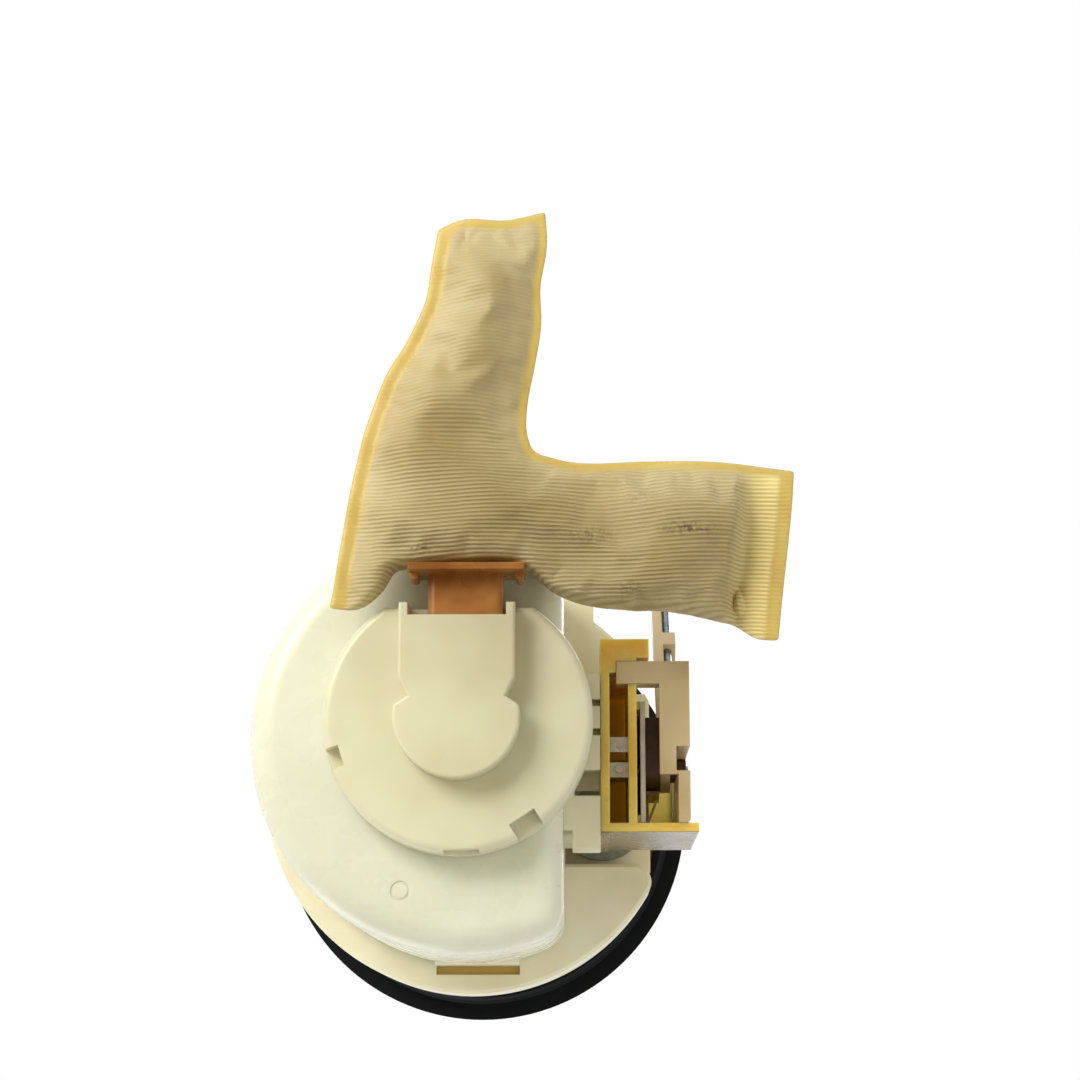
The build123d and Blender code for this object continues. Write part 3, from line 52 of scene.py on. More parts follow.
# ---------------------------------------------------------------- camera, light and floor
# The module is seen from below, with its strainer towards the eye.  A large soft lamp stands at the
# upper left of the view, weaker ones fill the right, the top and the back.
eye = Vector((0.0324, 0.0818, -0.8129))
eye_right = Vector((1.0, 0.0, 0.0173)).normalized()
eye_up = Vector((0.0, -0.978, -0.208))
eye_up = (eye_up - eye_up.dot(eye_right) * eye_right).normalized()
turn = Matrix((eye_right, eye_up, eye_right.cross(eye_up))).transposed()
camera = bpy.data.objects.new("camera", bpy.data.cameras.new("camera"))
camera.data.lens = 83.67
camera.data.sensor_width = 36.0
camera.data.clip_start = 0.05
camera.data.clip_end = 20.0
camera.matrix_world = Matrix.Translation(eye) @ turn.to_4x4()
bpy.context.scene.collection.objects.link(camera)
bpy.context.scene.camera = camera
bpy.context.scene.view_settings.view_transform = "Standard"


def soft_lamp(name, place, target, size, power):
    """Square area lamp at a place, aimed at a target, both in metres."""
    lamp = bpy.data.lights.new(name, "AREA")
    lamp.size = size
    lamp.energy = power
    holder = bpy.data.objects.new(name, lamp)
    holder.location = place
    holder.rotation_euler = (Vector(target) - Vector(place)).to_track_quat("-Z", "Y").to_euler()
    bpy.context.scene.collection.objects.link(holder)


middle = (0.02, -0.03, -0.10)
soft_lamp("key_lamp", (-0.72, -0.62, -0.92), middle, 0.6, 11.2)
soft_lamp("fill_lamp", (0.85, 0.35, -0.75), middle, 0.9, 2.4)
soft_lamp("top_lamp", (0.30, -0.50, 0.95), middle, 0.9, 9.0)
soft_lamp("back_lamp", (-0.55, 0.90, 0.35), middle, 0.8, 6.0)


def larger_of(tree, first, second):
    """The larger of two shares."""
    larger = tree.nodes.new("ShaderNodeMath")
    larger.operation = "MAXIMUM"
    tree.links.new(first, larger.inputs[0])
    tree.links.new(second, larger.inputs[1])
    return larger.outputs[0]


def mixed_shaders(tree, share, first, second):
    """Shader that goes from the first to the second with the share."""
    mix = tree.nodes.new("ShaderNodeMixShader")
    tree.links.new(share, mix.inputs["Fac"])
    tree.links.new(first, mix.inputs[1])
    tree.links.new(second, mix.inputs[2])
    return mix.outputs[0]


def white_sky(tree, strength):
    """Even white light from all around."""
    sky = tree.nodes.new("ShaderNodeBackground")
    sky.inputs["Color"].default_value = (1.0, 1.0, 1.0, 1.0)
    sky.inputs["Strength"].default_value = strength
    return sky.outputs[0]


# The sky lights the module weakly, and is plain white where it is seen, mirrored or seen through.
world = bpy.data.worlds.new("studio")
bpy.context.scene.world = world
world.use_nodes = True
tree = world.node_tree
tree.nodes.clear()
rays = tree.nodes.new("ShaderNodeLightPath").outputs
seen = larger_of(tree, rays["Is Camera Ray"], rays["Is Transmission Ray"])
seen = larger_of(tree, seen, rays["Is Glossy Ray"])
sky_out = tree.nodes.new("ShaderNodeOutputWorld")
skies = mixed_shaders(tree, seen, white_sky(tree, 0.30), white_sky(tree, 1.0))
tree.links.new(skies, sky_out.inputs["Surface"])

# Pale bench top under the strainer.  It is there from above only, so it hides nothing from below.
FLOOR_GAP = 0.004
FLOOR_REACH = 3.0
floor_z = cad_low.z - FLOOR_GAP
corners = FLOOR_REACH * np.array([(-1, -1), (1, -1), (1, 1), (-1, 1)], float)
floor_mesh = bpy.data.meshes.new("floor")
floor_mesh.from_pydata(np.column_stack([corners, np.full(4, floor_z)]).tolist(), [], [(0, 1, 2, 3)])
floor = bpy.data.objects.new("floor", floor_mesh)
bpy.context.scene.collection.objects.link(floor)
pale = bpy.data.materials.new("bench_top")
pale.use_nodes = True
tree = pale.node_tree
tree.nodes.clear()
from_below = tree.nodes.new("ShaderNodeNewGeometry").outputs["Backfacing"]
shadow_ray = tree.nodes.new("ShaderNodeLightPath").outputs["Is Shadow Ray"]
top = tree.nodes.new("ShaderNodeBsdfDiffuse")
top.inputs["Color"].default_value = (0.86, 0.86, 0.85, 1.0)
clear = tree.nodes.new("ShaderNodeBsdfTransparent")
out = tree.nodes.new("ShaderNodeOutputMaterial")
bench = mixed_shaders(tree, larger_of(tree, from_below, shadow_ray), top.outputs[0], clear.outputs[0])
tree.links.new(bench, out.inputs["Surface"])
floor.data.materials.append(pale)

# ---------------------------------------------------------------- flange plate and seal
# The flange is moulded in one piece from black acetal with its socket, spigot and pilot skirt.
# A ring of nitrile rubber is pushed over the skirt and is pressed on the tank by the flange.


def linear(red, green, blue):
    """Linear colour of a screen colour given from 0 to 255: each channel's share to the power 2.2."""
    return tuple(float(share) for share in (np.array([red, green, blue]) / 255.0) ** 2.2) + (1.0,)


def start_material(name):
    """Empty node tree with a Principled shader on the output, and object coordinates for patterns."""
    material = bpy.data.materials.new(name)
    material.use_nodes = True
    nodes = material.node_tree.nodes
    nodes.clear()
    output = nodes.new("ShaderNodeOutputMaterial")
    shader = nodes.new("ShaderNodeBsdfPrincipled")
    material.node_tree.links.new(shader.outputs["BSDF"], output.inputs["Surface"])
    place = nodes.new("ShaderNodeTexCoord")
    return material, shader, place.outputs["Object"]


def cloud(material, place, size, detail=3.0, roughness=0.55):
    """Noise whose patches are about the given size in metres."""
    noise = material.node_tree.nodes.new("ShaderNodeTexNoise")
    noise.inputs["Scale"].default_value = 1.0 / size
    noise.inputs["Detail"].default_value = detail
    noise.inputs["Roughness"].default_value = roughness
    material.node_tree.links.new(place, noise.inputs["Vector"])
    return noise.outputs["Fac"]


def between(material, share, low_share, high_share, low, high):
    """Maps a share of a pattern to a span of values, held at both ends."""
    span = material.node_tree.nodes.new("ShaderNodeMapRange")
    span.inputs["From Min"].default_value = low_share
    span.inputs["From Max"].default_value = high_share
    span.inputs["To Min"].default_value = low
    span.inputs["To Max"].default_value = high
    material.node_tree.links.new(share, span.inputs["Value"])
    return span.outputs["Result"]


def blend_colours(material, share, first, second):
    """Colour that goes from the first to the second with the share; each is a colour or an output."""
    mix = material.node_tree.nodes.new("ShaderNodeMix")
    mix.data_type = "RGBA"
    material.node_tree.links.new(share, mix.inputs["Factor"])
    for value, socket in ((first, mix.inputs["A"]), (second, mix.inputs["B"])):
        if isinstance(value, tuple):
            socket.default_value = value
        else:
            material.node_tree.links.new(value, socket)
    return mix.outputs["Result"]


def relief(material, shader, layers, edge=0.0):
    """Stacks bumps on the shader's normal; each layer is a pattern and its height in metres.  Sharp
    edges under them look rounded with the given radius."""
    before = None
    if edge > 0:
        rounded = material.node_tree.nodes.new("ShaderNodeBevel")
        rounded.samples = 4
        rounded.inputs["Radius"].default_value = edge
        before = rounded.outputs["Normal"]
    for pattern, height in layers:
        bump = material.node_tree.nodes.new("ShaderNodeBump")
        bump.inputs["Strength"].default_value = 1.0
        bump.inputs["Distance"].default_value = height
        material.node_tree.links.new(pattern, bump.inputs["Height"])
        if before is not None:
            material.node_tree.links.new(before, bump.inputs["Normal"])
        before = bump.outputs["Normal"]
    material.node_tree.links.new(before, shader.inputs["Normal"])


MOULD_GRAIN = 0.00045        # size of the mould's fine texture
GRAIN_HEIGHT = 0.0000015
SINK_SIZE = 0.012            # size of the shallow marks where the plastic sank as it cooled
RUB_SIZE = 0.009
FLECK_SIZE = 0.0016
EDGE_ROUND = 0.0004


def moulded_plastic(name, colour, aged, rough, flow=0.022, spots=None, glow=0.0, glow_depth=0.003,
                    gloss=0.5, sinks=0.00003, edge=EDGE_ROUND):
    """Injection-moulded plastic: slow flow clouds in the colour, fine texture of the mould, sink marks,
    rougher rubbed patches, and for milky plastics some light that travels under the surface."""
    material, shader, place = start_material(name)
    slow = cloud(material, place, flow, 2.0)
    tone = blend_colours(material, between(material, slow, 0.38, 0.66, 0.0, 1.0), colour, aged)
    if spots is not None:
        fleck = cloud(material, place, FLECK_SIZE, 1.0)
        tone = blend_colours(material, between(material, fleck, 0.71, 0.78, 0.0, 0.5), tone, spots)
    material.node_tree.links.new(tone, shader.inputs["Base Color"])
    rubbed = cloud(material, place, RUB_SIZE, 2.0, 0.5)
    roughness = between(material, rubbed, 0.3, 0.7, rough - 0.04, rough + 0.07)
    material.node_tree.links.new(roughness, shader.inputs["Roughness"])
    relief(material, shader, [(cloud(material, place, SINK_SIZE, 0.0), sinks),
                              (cloud(material, place, MOULD_GRAIN, 0.0), GRAIN_HEIGHT)], edge)
    shader.inputs["Specular IOR Level"].default_value = gloss
    if glow > 0:
        shader.inputs["Subsurface Weight"].default_value = glow
        shader.inputs["Subsurface Radius"].default_value = (1.0, 0.8, 0.5)
        shader.inputs["Subsurface Scale"].default_value = glow_depth
    return material


def coat(material, *names):
    """Gives CAD nodes a material in all their slots."""
    for name in names:
        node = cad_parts[name]
        if not node.data.materials:
            node.data.materials.append(material)
        for slot in node.material_slots:
            slot.material = material


black_acetal = moulded_plastic("black_acetal", linear(28, 30, 30), linear(38, 39, 38), 0.42, gloss=0.4)
coat(black_acetal, "flange_plate")

rubber, shader, place = start_material("nitrile_rubber")
bloom = cloud(rubber, place, 0.013, 4.0, 0.6)
bloomed = between(rubber, bloom, 0.4, 0.75, 0.0, 1.0)
rubber_tone = blend_colours(rubber, bloomed, linear(13, 14, 15), linear(25, 27, 27))
rubber.node_tree.links.new(rubber_tone, shader.inputs["Base Color"])
rubber.node_tree.links.new(between(rubber, bloom, 0.3, 0.7, 0.62, 0.8), shader.inputs["Roughness"])
relief(rubber, shader, [(cloud(rubber, place, 0.0009, 3.0), 0.00003)], edge=0.0005)
shader.inputs["Specular IOR Level"].default_value = 0.18
coat(rubber, "flange_seal", "pump_cushion", "cap_seal", "pump_seal", "regulator_diaphragm",
     "regulator_ring")

# ---------------------------------------------------------------- contact blades
# Tinned brass blades stamped from strip.  They are pressed through the flange into the socket, and
# the same strip makes the pump's and the level sender's terminals.


STREAK_SIZE = 0.004          # width of the drawing lines before they are stretched
STREAK_HEIGHT = 0.00002


def bare_metal(name, colour, dull, rough, grain=0.0, along=(1.0, 1.0, 12.0)):
    """Metal with drawing or brushing lines: noise stretched along one direction tells bright from dull
    streaks, in colour, roughness and a shallow relief."""
    material, shader, place = start_material(name)
    stretch = material.node_tree.nodes.new("ShaderNodeMapping")
    stretch.inputs["Scale"].default_value = along
    material.node_tree.links.new(place, stretch.inputs["Vector"])
    streak = cloud(material, stretch.outputs["Vector"], STREAK_SIZE, 5.0, 0.7)
    tone = blend_colours(material, between(material, streak, 0.35, 0.68, 0.0, 1.0), colour, dull)
    material.node_tree.links.new(tone, shader.inputs["Base Color"])
    roughness = between(material, streak, 0.3, 0.72, rough - 0.06, rough + 0.12)
    material.node_tree.links.new(roughness, shader.inputs["Roughness"])
    relief(material, shader, [(streak, STREAK_HEIGHT + grain)])
    shader.inputs["Metallic"].default_value = 1.0
    return material


tinned_brass = bare_metal("tinned_brass", linear(206, 202, 190), linear(170, 160, 132), 0.3)
coat(tinned_brass, "connector_pins", "pump_terminals", "sender_terminals")

# ---------------------------------------------------------------- guide rods, clips and springs
# Ground steel rods pressed into the flange, spring steel snap rings in their grooves, and zinc-plated
# coil springs wound from round wire that push the pump unit onto the tank bottom.
ground_steel = bare_metal("ground_steel", linear(196, 198, 200), linear(150, 152, 155), 0.2,
                          along=(6.0, 6.0, 1.0))
coat(ground_steel, "guide_rods", "pump_shaft", "pivot_pin")
spring_steel = bare_metal("blued_spring_steel", linear(92, 90, 88), linear(60, 58, 58), 0.34)
coat(spring_steel, "rod_clips", "regulator_clip", "brush_springs", "regulator_spring", "check_valve_spring")
zinc_plated = bare_metal("zinc_plated_steel", linear(186, 186, 180), linear(150, 148, 138), 0.3)
coat(zinc_plated, "height_springs")

# ---------------------------------------------------------------- carrier
# The cup that slides on the rods is moulded from natural acetal, milky and slightly yellow.  Through
# the slot in its lower face shows the amber tongue that holds the filter case.


def product(material, first, second):
    """Two shares multiplied."""
    times = material.node_tree.nodes.new("ShaderNodeMath")
    times.operation = "MULTIPLY"
    material.node_tree.links.new(first, times.inputs[0])
    material.node_tree.links.new(second, times.inputs[1])
    return times.outputs[0]


def within(material, place, axis, low, high, blur=0.0001):
    """Share that is 1 where a coordinate of the place lies between two values in metres and 0 outside."""
    apart = material.node_tree.nodes.new("ShaderNodeSeparateXYZ")
    material.node_tree.links.new(place, apart.inputs["Vector"])
    return product(material, between(material, apart.outputs[axis], low - blur, low + blur, 0.0, 1.0),
                   between(material, apart.outputs[axis], high - blur, high + blur, 1.0, 0.0))


def node_of(material, kind):
    """The first node of a kind in a material."""
    return next(node for node in material.node_tree.nodes if node.type == kind)


def painted(material, share, colour):
    """Lays a colour over the material's own where the share is 1."""
    tone = node_of(material, "BSDF_PRINCIPLED").inputs["Base Color"]
    own = tone.links[0].from_socket
    material.node_tree.links.new(blend_colours(material, share, own, colour), tone)


SLOT = (("X", -0.0098, 0.0143), ("Y", 0.0517, 0.0543), ("Z", -0.0886, -0.0870))
natural_acetal = moulded_plastic("natural_acetal", linear(238, 232, 200), linear(228, 220, 184), 0.36,
                                 glow=0.35, glow_depth=0.004)
carrier_acetal = moulded_plastic("carrier_acetal", linear(236, 229, 196), linear(226, 217, 180), 0.36,
                                 glow=0.25, glow_depth=0.003)
here = node_of(carrier_acetal, "TEX_COORD").outputs["Object"]
slot_x, slot_y, slot_z = (within(carrier_acetal, here, *span) for span in SLOT)
slot_floor = product(carrier_acetal, product(carrier_acetal, slot_x, slot_y), slot_z)
painted(carrier_acetal, slot_floor, linear(200, 165, 78))
coat(carrier_acetal, "carrier")

# ---------------------------------------------------------------- filter case, lid and element
# The case and its lid are glossy natural acetal, welded together round a pleated paper element whose
# ends are potted in plates of resin.
glossy_acetal = moulded_plastic("glossy_acetal", linear(238, 235, 211), linear(228, 225, 198), 0.27,
                                flow=0.04, glow=0.45, glow_depth=0.006, gloss=0.36,
                                sinks=0.000004, edge=0.0)
coat(glossy_acetal, "filter_case", "case_lid")

pleated_paper, shader, place = start_material("pleated_paper")
paper_tone = blend_colours(pleated_paper, cloud(pleated_paper, place, 0.004, 5.0, 0.7),
                           linear(232, 216, 168), linear(206, 182, 128))
pleated_paper.node_tree.links.new(paper_tone, shader.inputs["Base Color"])
shader.inputs["Roughness"].default_value = 0.9
relief(pleated_paper, shader, [(cloud(pleated_paper, place, 0.0003, 3.0), 0.00005)])
coat(pleated_paper, "filter_element")
resin = moulded_plastic("potting_resin", linear(196, 150, 74), linear(176, 126, 56), 0.3, flow=0.008)
coat(resin, "filter_end_plates")

# ---------------------------------------------------------------- pump
# Steel tube with rolled ends round two ferrite magnets and a wound armature; moulded covers close it,
# and the turbine runs between the inlet cover and the pump plate, both of glass-filled phenolic.
shell_steel = bare_metal("zinc_plated_shell", linear(190, 190, 184), linear(160, 158, 148), 0.28,
                         along=(1.0, 1.0, 9.0))
coat(shell_steel, "pump_shell")
phenolic = moulded_plastic("glass_filled_phenolic", linear(62, 52, 44), linear(82, 70, 58), 0.5, flow=0.005,
                           spots=linear(120, 106, 90))
coat(phenolic, "pump_inlet_cover", "pump_plate", "impeller")
black_nylon = moulded_plastic("black_nylon", linear(36, 35, 34), linear(50, 48, 46), 0.45)
coat(black_nylon, "pump_end_cover", "check_valve_guide")
ferrite = moulded_plastic("ferrite", linear(58, 58, 62), linear(74, 74, 78), 0.6, flow=0.004)
coat(ferrite, "magnets")
bronze = bare_metal("sintered_bronze", linear(176, 128, 70), linear(140, 98, 52), 0.45, grain=0.00003)
coat(bronze, "shaft_bushes")
carbon = moulded_plastic("carbon", linear(44, 44, 46), linear(62, 62, 64), 0.55, flow=0.003)
coat(carbon, "brushes")
laminated = bare_metal("laminated_steel", linear(134, 132, 128), linear(96, 94, 92), 0.42,
                       along=(1.0, 1.0, 40.0), grain=0.00004)
coat(laminated, "armature_core")
enamelled_copper = bare_metal("enamelled_copper", linear(186, 96, 46), linear(140, 62, 26), 0.3,
                              along=(30.0, 30.0, 1.0), grain=0.00005)
coat(enamelled_copper, "armature_coils")
bar_copper = bare_metal("bar_copper", linear(208, 124, 76), linear(160, 88, 52), 0.26)
coat(bar_copper, "commutator")
white_acetal = moulded_plastic("white_acetal", linear(232, 230, 222), linear(220, 216, 204), 0.3, glow=0.3)
coat(white_acetal, "check_valve")

# ---------------------------------------------------------------- lower cap
# The cap with its keyhole hood is moulded from cream acetal and has a matt face from the mould.  It
# closes the lower end of the filter case and leads the fuel from the strainer to the pump.
cream_acetal = moulded_plastic("cream_acetal", linear(224, 220, 190), linear(214, 208, 175), 0.34,
                               flow=0.03, glow=0.25, glow_depth=0.003)
coat(cream_acetal, "lower_cap")

# ---------------------------------------------------------------- strainer neck and inner grid
# Orange-brown polyamide duct with the plate to which the bag is welded, and the natural grid that
# keeps the bag's two faces apart.
amber_polyamide = moulded_plastic("amber_polyamide", linear(186, 128, 68), linear(152, 96, 42), 0.3,
                                  flow=0.012, glow=0.3, glow_depth=0.002)
coat(amber_polyamide, "strainer_neck")
coat(natural_acetal, "strainer_frame")

# ---------------------------------------------------------------- strainer bag
# Two faces cut from one folded piece of ribbed polyamide mesh, laid on each other and hot-welded along
# the open sides, so the border is a hard amber strip; the fuel and the grid keep the bag puffed up.
SEAM_Z = -0.173
BAG_HALF = 0.0092            # half thickness in the middle
WELD_HALF = 0.0004           # half thickness of the welded border

# Flat outline in millimetres, edge by edge round the bag, and each weld's width in metres.
LEFT_EDGE = [(-33.3, -36.3), (-32.0, -44.1), (-29.3, -61.8), (-24.5, -84.4), (-19.6, -98.2),
             (-13.0, -110.0), (-9.4, -118.3), (-7.7, -128.3), (-5.9, -139.3)]
TOP_EDGE = [(-5.9, -139.3), (-0.7, -141.6), (12.8, -141.9), (22.7, -144.6)]
INNER_EDGE = [(22.7, -144.6), (23.2, -134.9), (21.4, -123.0), (21.7, -113.6), (20.1, -101.8), (17.9, -89.2),
              (17.9, -82.9), (19.6, -78.1), (24.9, -76.0), (50.0, -75.4), (68.2, -74.7), (87.9, -72.7)]
END_EDGE = [(87.9, -72.7), (87.0, -61.8), (84.8, -44.1), (82.8, -27.4)]
FOLD_EDGE = [(82.8, -27.4), (77.7, -27.9), (71.3, -31.6), (65.0, -33.3), (58.0, -35.0), (45.3, -35.9),
             (32.4, -37.6), (24.7, -40.7), (18.5, -45.4), (14.2, -46.9), (2.1, -47.0), (-10.5, -46.9),
             (-15.5, -46.6), (-19.6, -40.7), (-25.7, -36.2), (-33.3, -36.3)]
WELDED = ((LEFT_EDGE, 0.0042), (TOP_EDGE, 0.0027), (INNER_EDGE, 0.0024), (END_EDGE, 0.0040))


def smooth_edge(points, step=0.0014):
    """Points along a smooth line through the given ones, in metres: each run is a cubic, and its slope
    at a given point is the mean of the two chords' slopes there, weighted towards the shorter chord."""
    knots = np.array(points) / 1000.0
    along = np.concatenate([[0.0], np.cumsum(np.linalg.norm(np.diff(knots, axis=0), axis=1))])
    slopes = np.gradient(knots, along, axis=0)
    stations = np.linspace(0.0, along[-1], max(int(along[-1] / step), 2) + 1)[:-1]
    index = np.clip(np.searchsorted(along, stations, side="right") - 1, 0, len(along) - 2)
    length = (along[index + 1] - along[index])[:, None]
    t = (stations - along[index])[:, None] / length
    return (knots[index] * (2 * t**3 - 3 * t**2 + 1) + slopes[index] * length * (t**3 - 2 * t**2 + t)
            + knots[index + 1] * (3 * t**2 - 2 * t**3) + slopes[index + 1] * length * (t**3 - t**2))


def distance_to(line, places):
    """Shortest distance from each place to a run of points: nearest point on each chord, then the least."""
    start, chord = line[:-1], np.diff(line, axis=0)
    offset = places[:, None, :] - start[None]
    t = np.clip((offset * chord).sum(2) / (chord**2).sum(1), 0.0, 1.0)
    return np.linalg.norm(offset - t[..., None] * chord, axis=2).min(axis=1)


def closed_edge(points):
    """Smooth line of one edge with its last corner."""
    return np.concatenate([smooth_edge(points), np.array([points[-1]]) / 1000.0])


weld_lines = [closed_edge(edge) for edge, _ in WELDED]
fold_line = closed_edge(FOLD_EDGE)
outline = np.concatenate([line[:-1] for line in weld_lines] + [fold_line[:-1]])

# Cutting plan of one face: four rows that follow the rim, a hexagonal net inside them, and a
# triangulation held to the rim.
GRID = 0.0019
ROW_DEPTHS = (0.0008, 0.0022, 0.0036, 0.0050)
NET_DEPTH = 0.0062
NET_X, NET_Y = (-0.036, 0.090), (-0.147, -0.026)
closed_outline = np.vstack([outline, outline[:1]])
onward = np.roll(outline, -1, axis=0) - np.roll(outline, 1, axis=0)
inward = np.column_stack([-onward[:, 1], onward[:, 0]]) / np.linalg.norm(onward, axis=1)[:, None]
rows_in = []
for depth in ROW_DEPTHS:
    row = outline + inward * depth
    rows_in.append(row[distance_to(closed_outline, row) > 0.97 * depth])
columns, rows = np.meshgrid(np.arange(*NET_X, GRID), np.arange(*NET_Y, GRID * 0.866))
columns = columns + (np.arange(rows.shape[0]) % 2)[:, None] * GRID / 2
net = np.column_stack([columns.ravel(), rows.ravel()])
after_rim = np.roll(outline, -1, axis=0)
crosses = ((outline[None, :, 1] > net[:, None, 1]) != (after_rim[None, :, 1] > net[:, None, 1])) & (
    net[:, None, 0] < outline[None, :, 0] + (net[:, None, 1] - outline[None, :, 1])
    * (after_rim - outline)[None, :, 0] / ((after_rim - outline)[None, :, 1] + 1e-12))
clear_of_rim = distance_to(closed_outline, net) > NET_DEPTH
net = net[(crosses.sum(axis=1) % 2 == 1) & clear_of_rim]
plan = np.concatenate([outline] + rows_in + [net])
rim = len(outline)
loop = np.column_stack([np.arange(rim), (np.arange(rim) + 1) % rim])
flat, _, cells, *_ = delaunay_2d_cdt([Vector(p) for p in plan.tolist()], loop.tolist(), [], 1, 1e-7)
flat = np.array([tuple(p) for p in flat])
cells = np.array([tuple(c) for c in cells])
first_side = flat[cells[:, 1]] - flat[cells[:, 0]]
second_side = flat[cells[:, 2]] - flat[cells[:, 0]]
turned = first_side[:, 0] * second_side[:, 1] - first_side[:, 1] * second_side[:, 0] < 0
cells[turned] = cells[turned][:, ::-1]

# Stuffed form: every edge lets the faces part at its own pace, and the least of the four counts.  The
# left side rises evenly, the trunk falls off straight towards the inner corner, the turn at the fold is
# round and tightest over the neck, and the end of the leg stays flat behind a sharp crease.
LEFT_RISE = 0.0170           # how far from its weld the left side is full
INNER_RISE = (0.0105, 0.0110)    # the same at the inner side of the trunk and of the leg
LEG_START_Y = -0.079
FOLD_TURN, NECK_TURN, TIP_TURN = 0.0044, 0.0016, 0.0030
TIP_X = 0.0745
NECK_TURN_X, NECK_TURN_REACH = 0.0025, 0.018
BLEND = 9.0                  # sharpness of the least of the four
HEM_RISE = 0.0008            # how softly the cloth leaves the weld


def at_pace(distance, reach, power):
    """Rise from 0 at an edge to 1 at the reach: one less the rest of the way to a power."""
    return 1 - (1 - np.clip(distance / reach, 0, 1)) ** power


clear = [distance_to(line, flat) - width for line, (_, width) in zip(weld_lines, WELDED)]
x, y = flat[:, 0], flat[:, 1]
to_left = at_pace(clear[0], LEFT_RISE, 1.9)
to_top = 0.30 * np.clip(clear[1] / 0.008, 0, 1) + 0.70 * np.clip((clear[1] - 0.0075) / 0.009, 0, 1)
to_inner = at_pace(clear[2], np.where(y < LEG_START_Y, *INNER_RISE), 1.25)
over_neck = np.exp(-((x - NECK_TURN_X) / NECK_TURN_REACH) ** 4)
turn_width = np.where(x > TIP_X, TIP_TURN, FOLD_TURN - (FOLD_TURN - NECK_TURN) * over_neck)
to_fold = np.sqrt(np.clip(at_pace(distance_to(fold_line, flat), turn_width, 2.4), 0, 1))
shares = (to_left, to_top, to_inner, to_fold)
swell = np.clip(0.03 - np.log(sum(np.exp(-BLEND * share) for share in shares)) / BLEND, 0.0, 1.0)


def dent(depth, centre_x, centre_y, width_x, width_y, lean=0.0):
    """Soft hollow, a bell that leans along its length: depth times exp(-(u/width_x)^2 - (v/width_y)^2),
    where u and v are the distances from its centre."""
    v = y - centre_y
    u = x - centre_x - lean * v
    return depth * np.exp(-(u / width_x) ** 2 - (v / width_y) ** 2)


# Hollows of the pressed cloth, two bulges beside them, and slow ripples.
hollow = dent(0.16, 0.0145, -0.100, 0.0040, 0.022, 0.08) + dent(0.10, 0.0060, -0.083, 0.012, 0.006, -0.8)
hollow += dent(0.22, 0.0330, -0.0660, 0.017, 0.0055)
hollow += dent(0.20, -0.0190, -0.0500, 0.006, 0.008, 0.6)
hollow += dent(0.07, 0.0080, -0.0690, 0.008, 0.014, 0.4)
hollow -= dent(0.07, 0.0520, -0.0490, 0.014, 0.008) + dent(0.05, -0.0020, -0.0560, 0.014, 0.006)


def wave(along_x, along_y, length):
    """Sine of the way gone in a direction over a length."""
    return np.sin(2 * np.pi * (along_x * x + along_y * y) / length)


ripple = 0.035 * wave(0.9, 0.35, 0.031) * wave(0.3, -0.8, 0.037)
thick = BAG_HALF * swell * np.clip(1 - hollow + ripple, 0.1, 1.08)
links = np.concatenate([cells[:, [0, 1]], cells[:, [1, 2]], cells[:, [2, 0]]])
SMOOTHINGS = 5
for _ in range(SMOOTHINGS):
    # Cloth has no sharp crests: each height becomes the mean of its neighbours' heights.
    near_sum, near_count = np.zeros(len(flat)), np.zeros(len(flat))
    for one, other in ((0, 1), (1, 0)):
        np.add.at(near_sum, links[:, one], thick[links[:, other]])
        np.add.at(near_count, links[:, one], 1.0)
    thick = near_sum / near_count

# The leg's last stretch is flat, then steps up at a crease, with a pinch at its lower end.
END_FLAT, END_STEP = 0.0078, 0.0036
FLAT_SHARE = 0.12
climb = np.clip((clear[3] - END_FLAT) / END_STEP, 0, 1)
stepped = FLAT_SHARE + (1 - FLAT_SHARE) * climb * climb * (3 - 2 * climb)
thick *= stepped - dent(0.45, 0.0715, -0.0385, 0.0028, 0.0050, 0.3)
from_weld = np.minimum.reduce(clear)
thick *= 1 - np.exp(-np.clip(from_weld, 0, 1) / HEM_RISE)
seam_wave = 0.0007 * wave(1.0, 0.4, 0.046) + 0.0004 * wave(0.5, -1.0, 0.019)
at_rim = np.arange(len(flat)) < rim
half = np.where(at_rim, 0.0, thick + WELD_HALF)

# Front and back face share the points of the rim; the flat places become the cloth's own map.
MAP_SCALE = 10.0
count = len(flat)
front = np.column_stack([flat, SEAM_Z + seam_wave - half])
back = np.column_stack([flat, SEAM_Z + seam_wave + half])[rim:]
back_index = np.where(at_rim, np.arange(count), np.arange(count) + count - rim)
bag_mesh = bpy.data.meshes.new("strainer_bag_cloth")
bag_mesh.from_pydata(np.concatenate([front, back]).tolist(), [],
                     cells[:, ::-1].tolist() + back_index[cells].tolist())


def on_both(values):
    """Values of the plan's points given to both faces: the rim's once, all others twice."""
    return np.concatenate([values, values[rim:]])


bag_plan = on_both(flat)
corners_of = np.empty(len(bag_mesh.loops), int)
bag_mesh.loops.foreach_get("vertex_index", corners_of)
bag_map = bag_mesh.uv_layers.new(name="cloth_plan")
bag_map.data.foreach_set("uv", (bag_plan[corners_of] * MAP_SCALE).ravel())

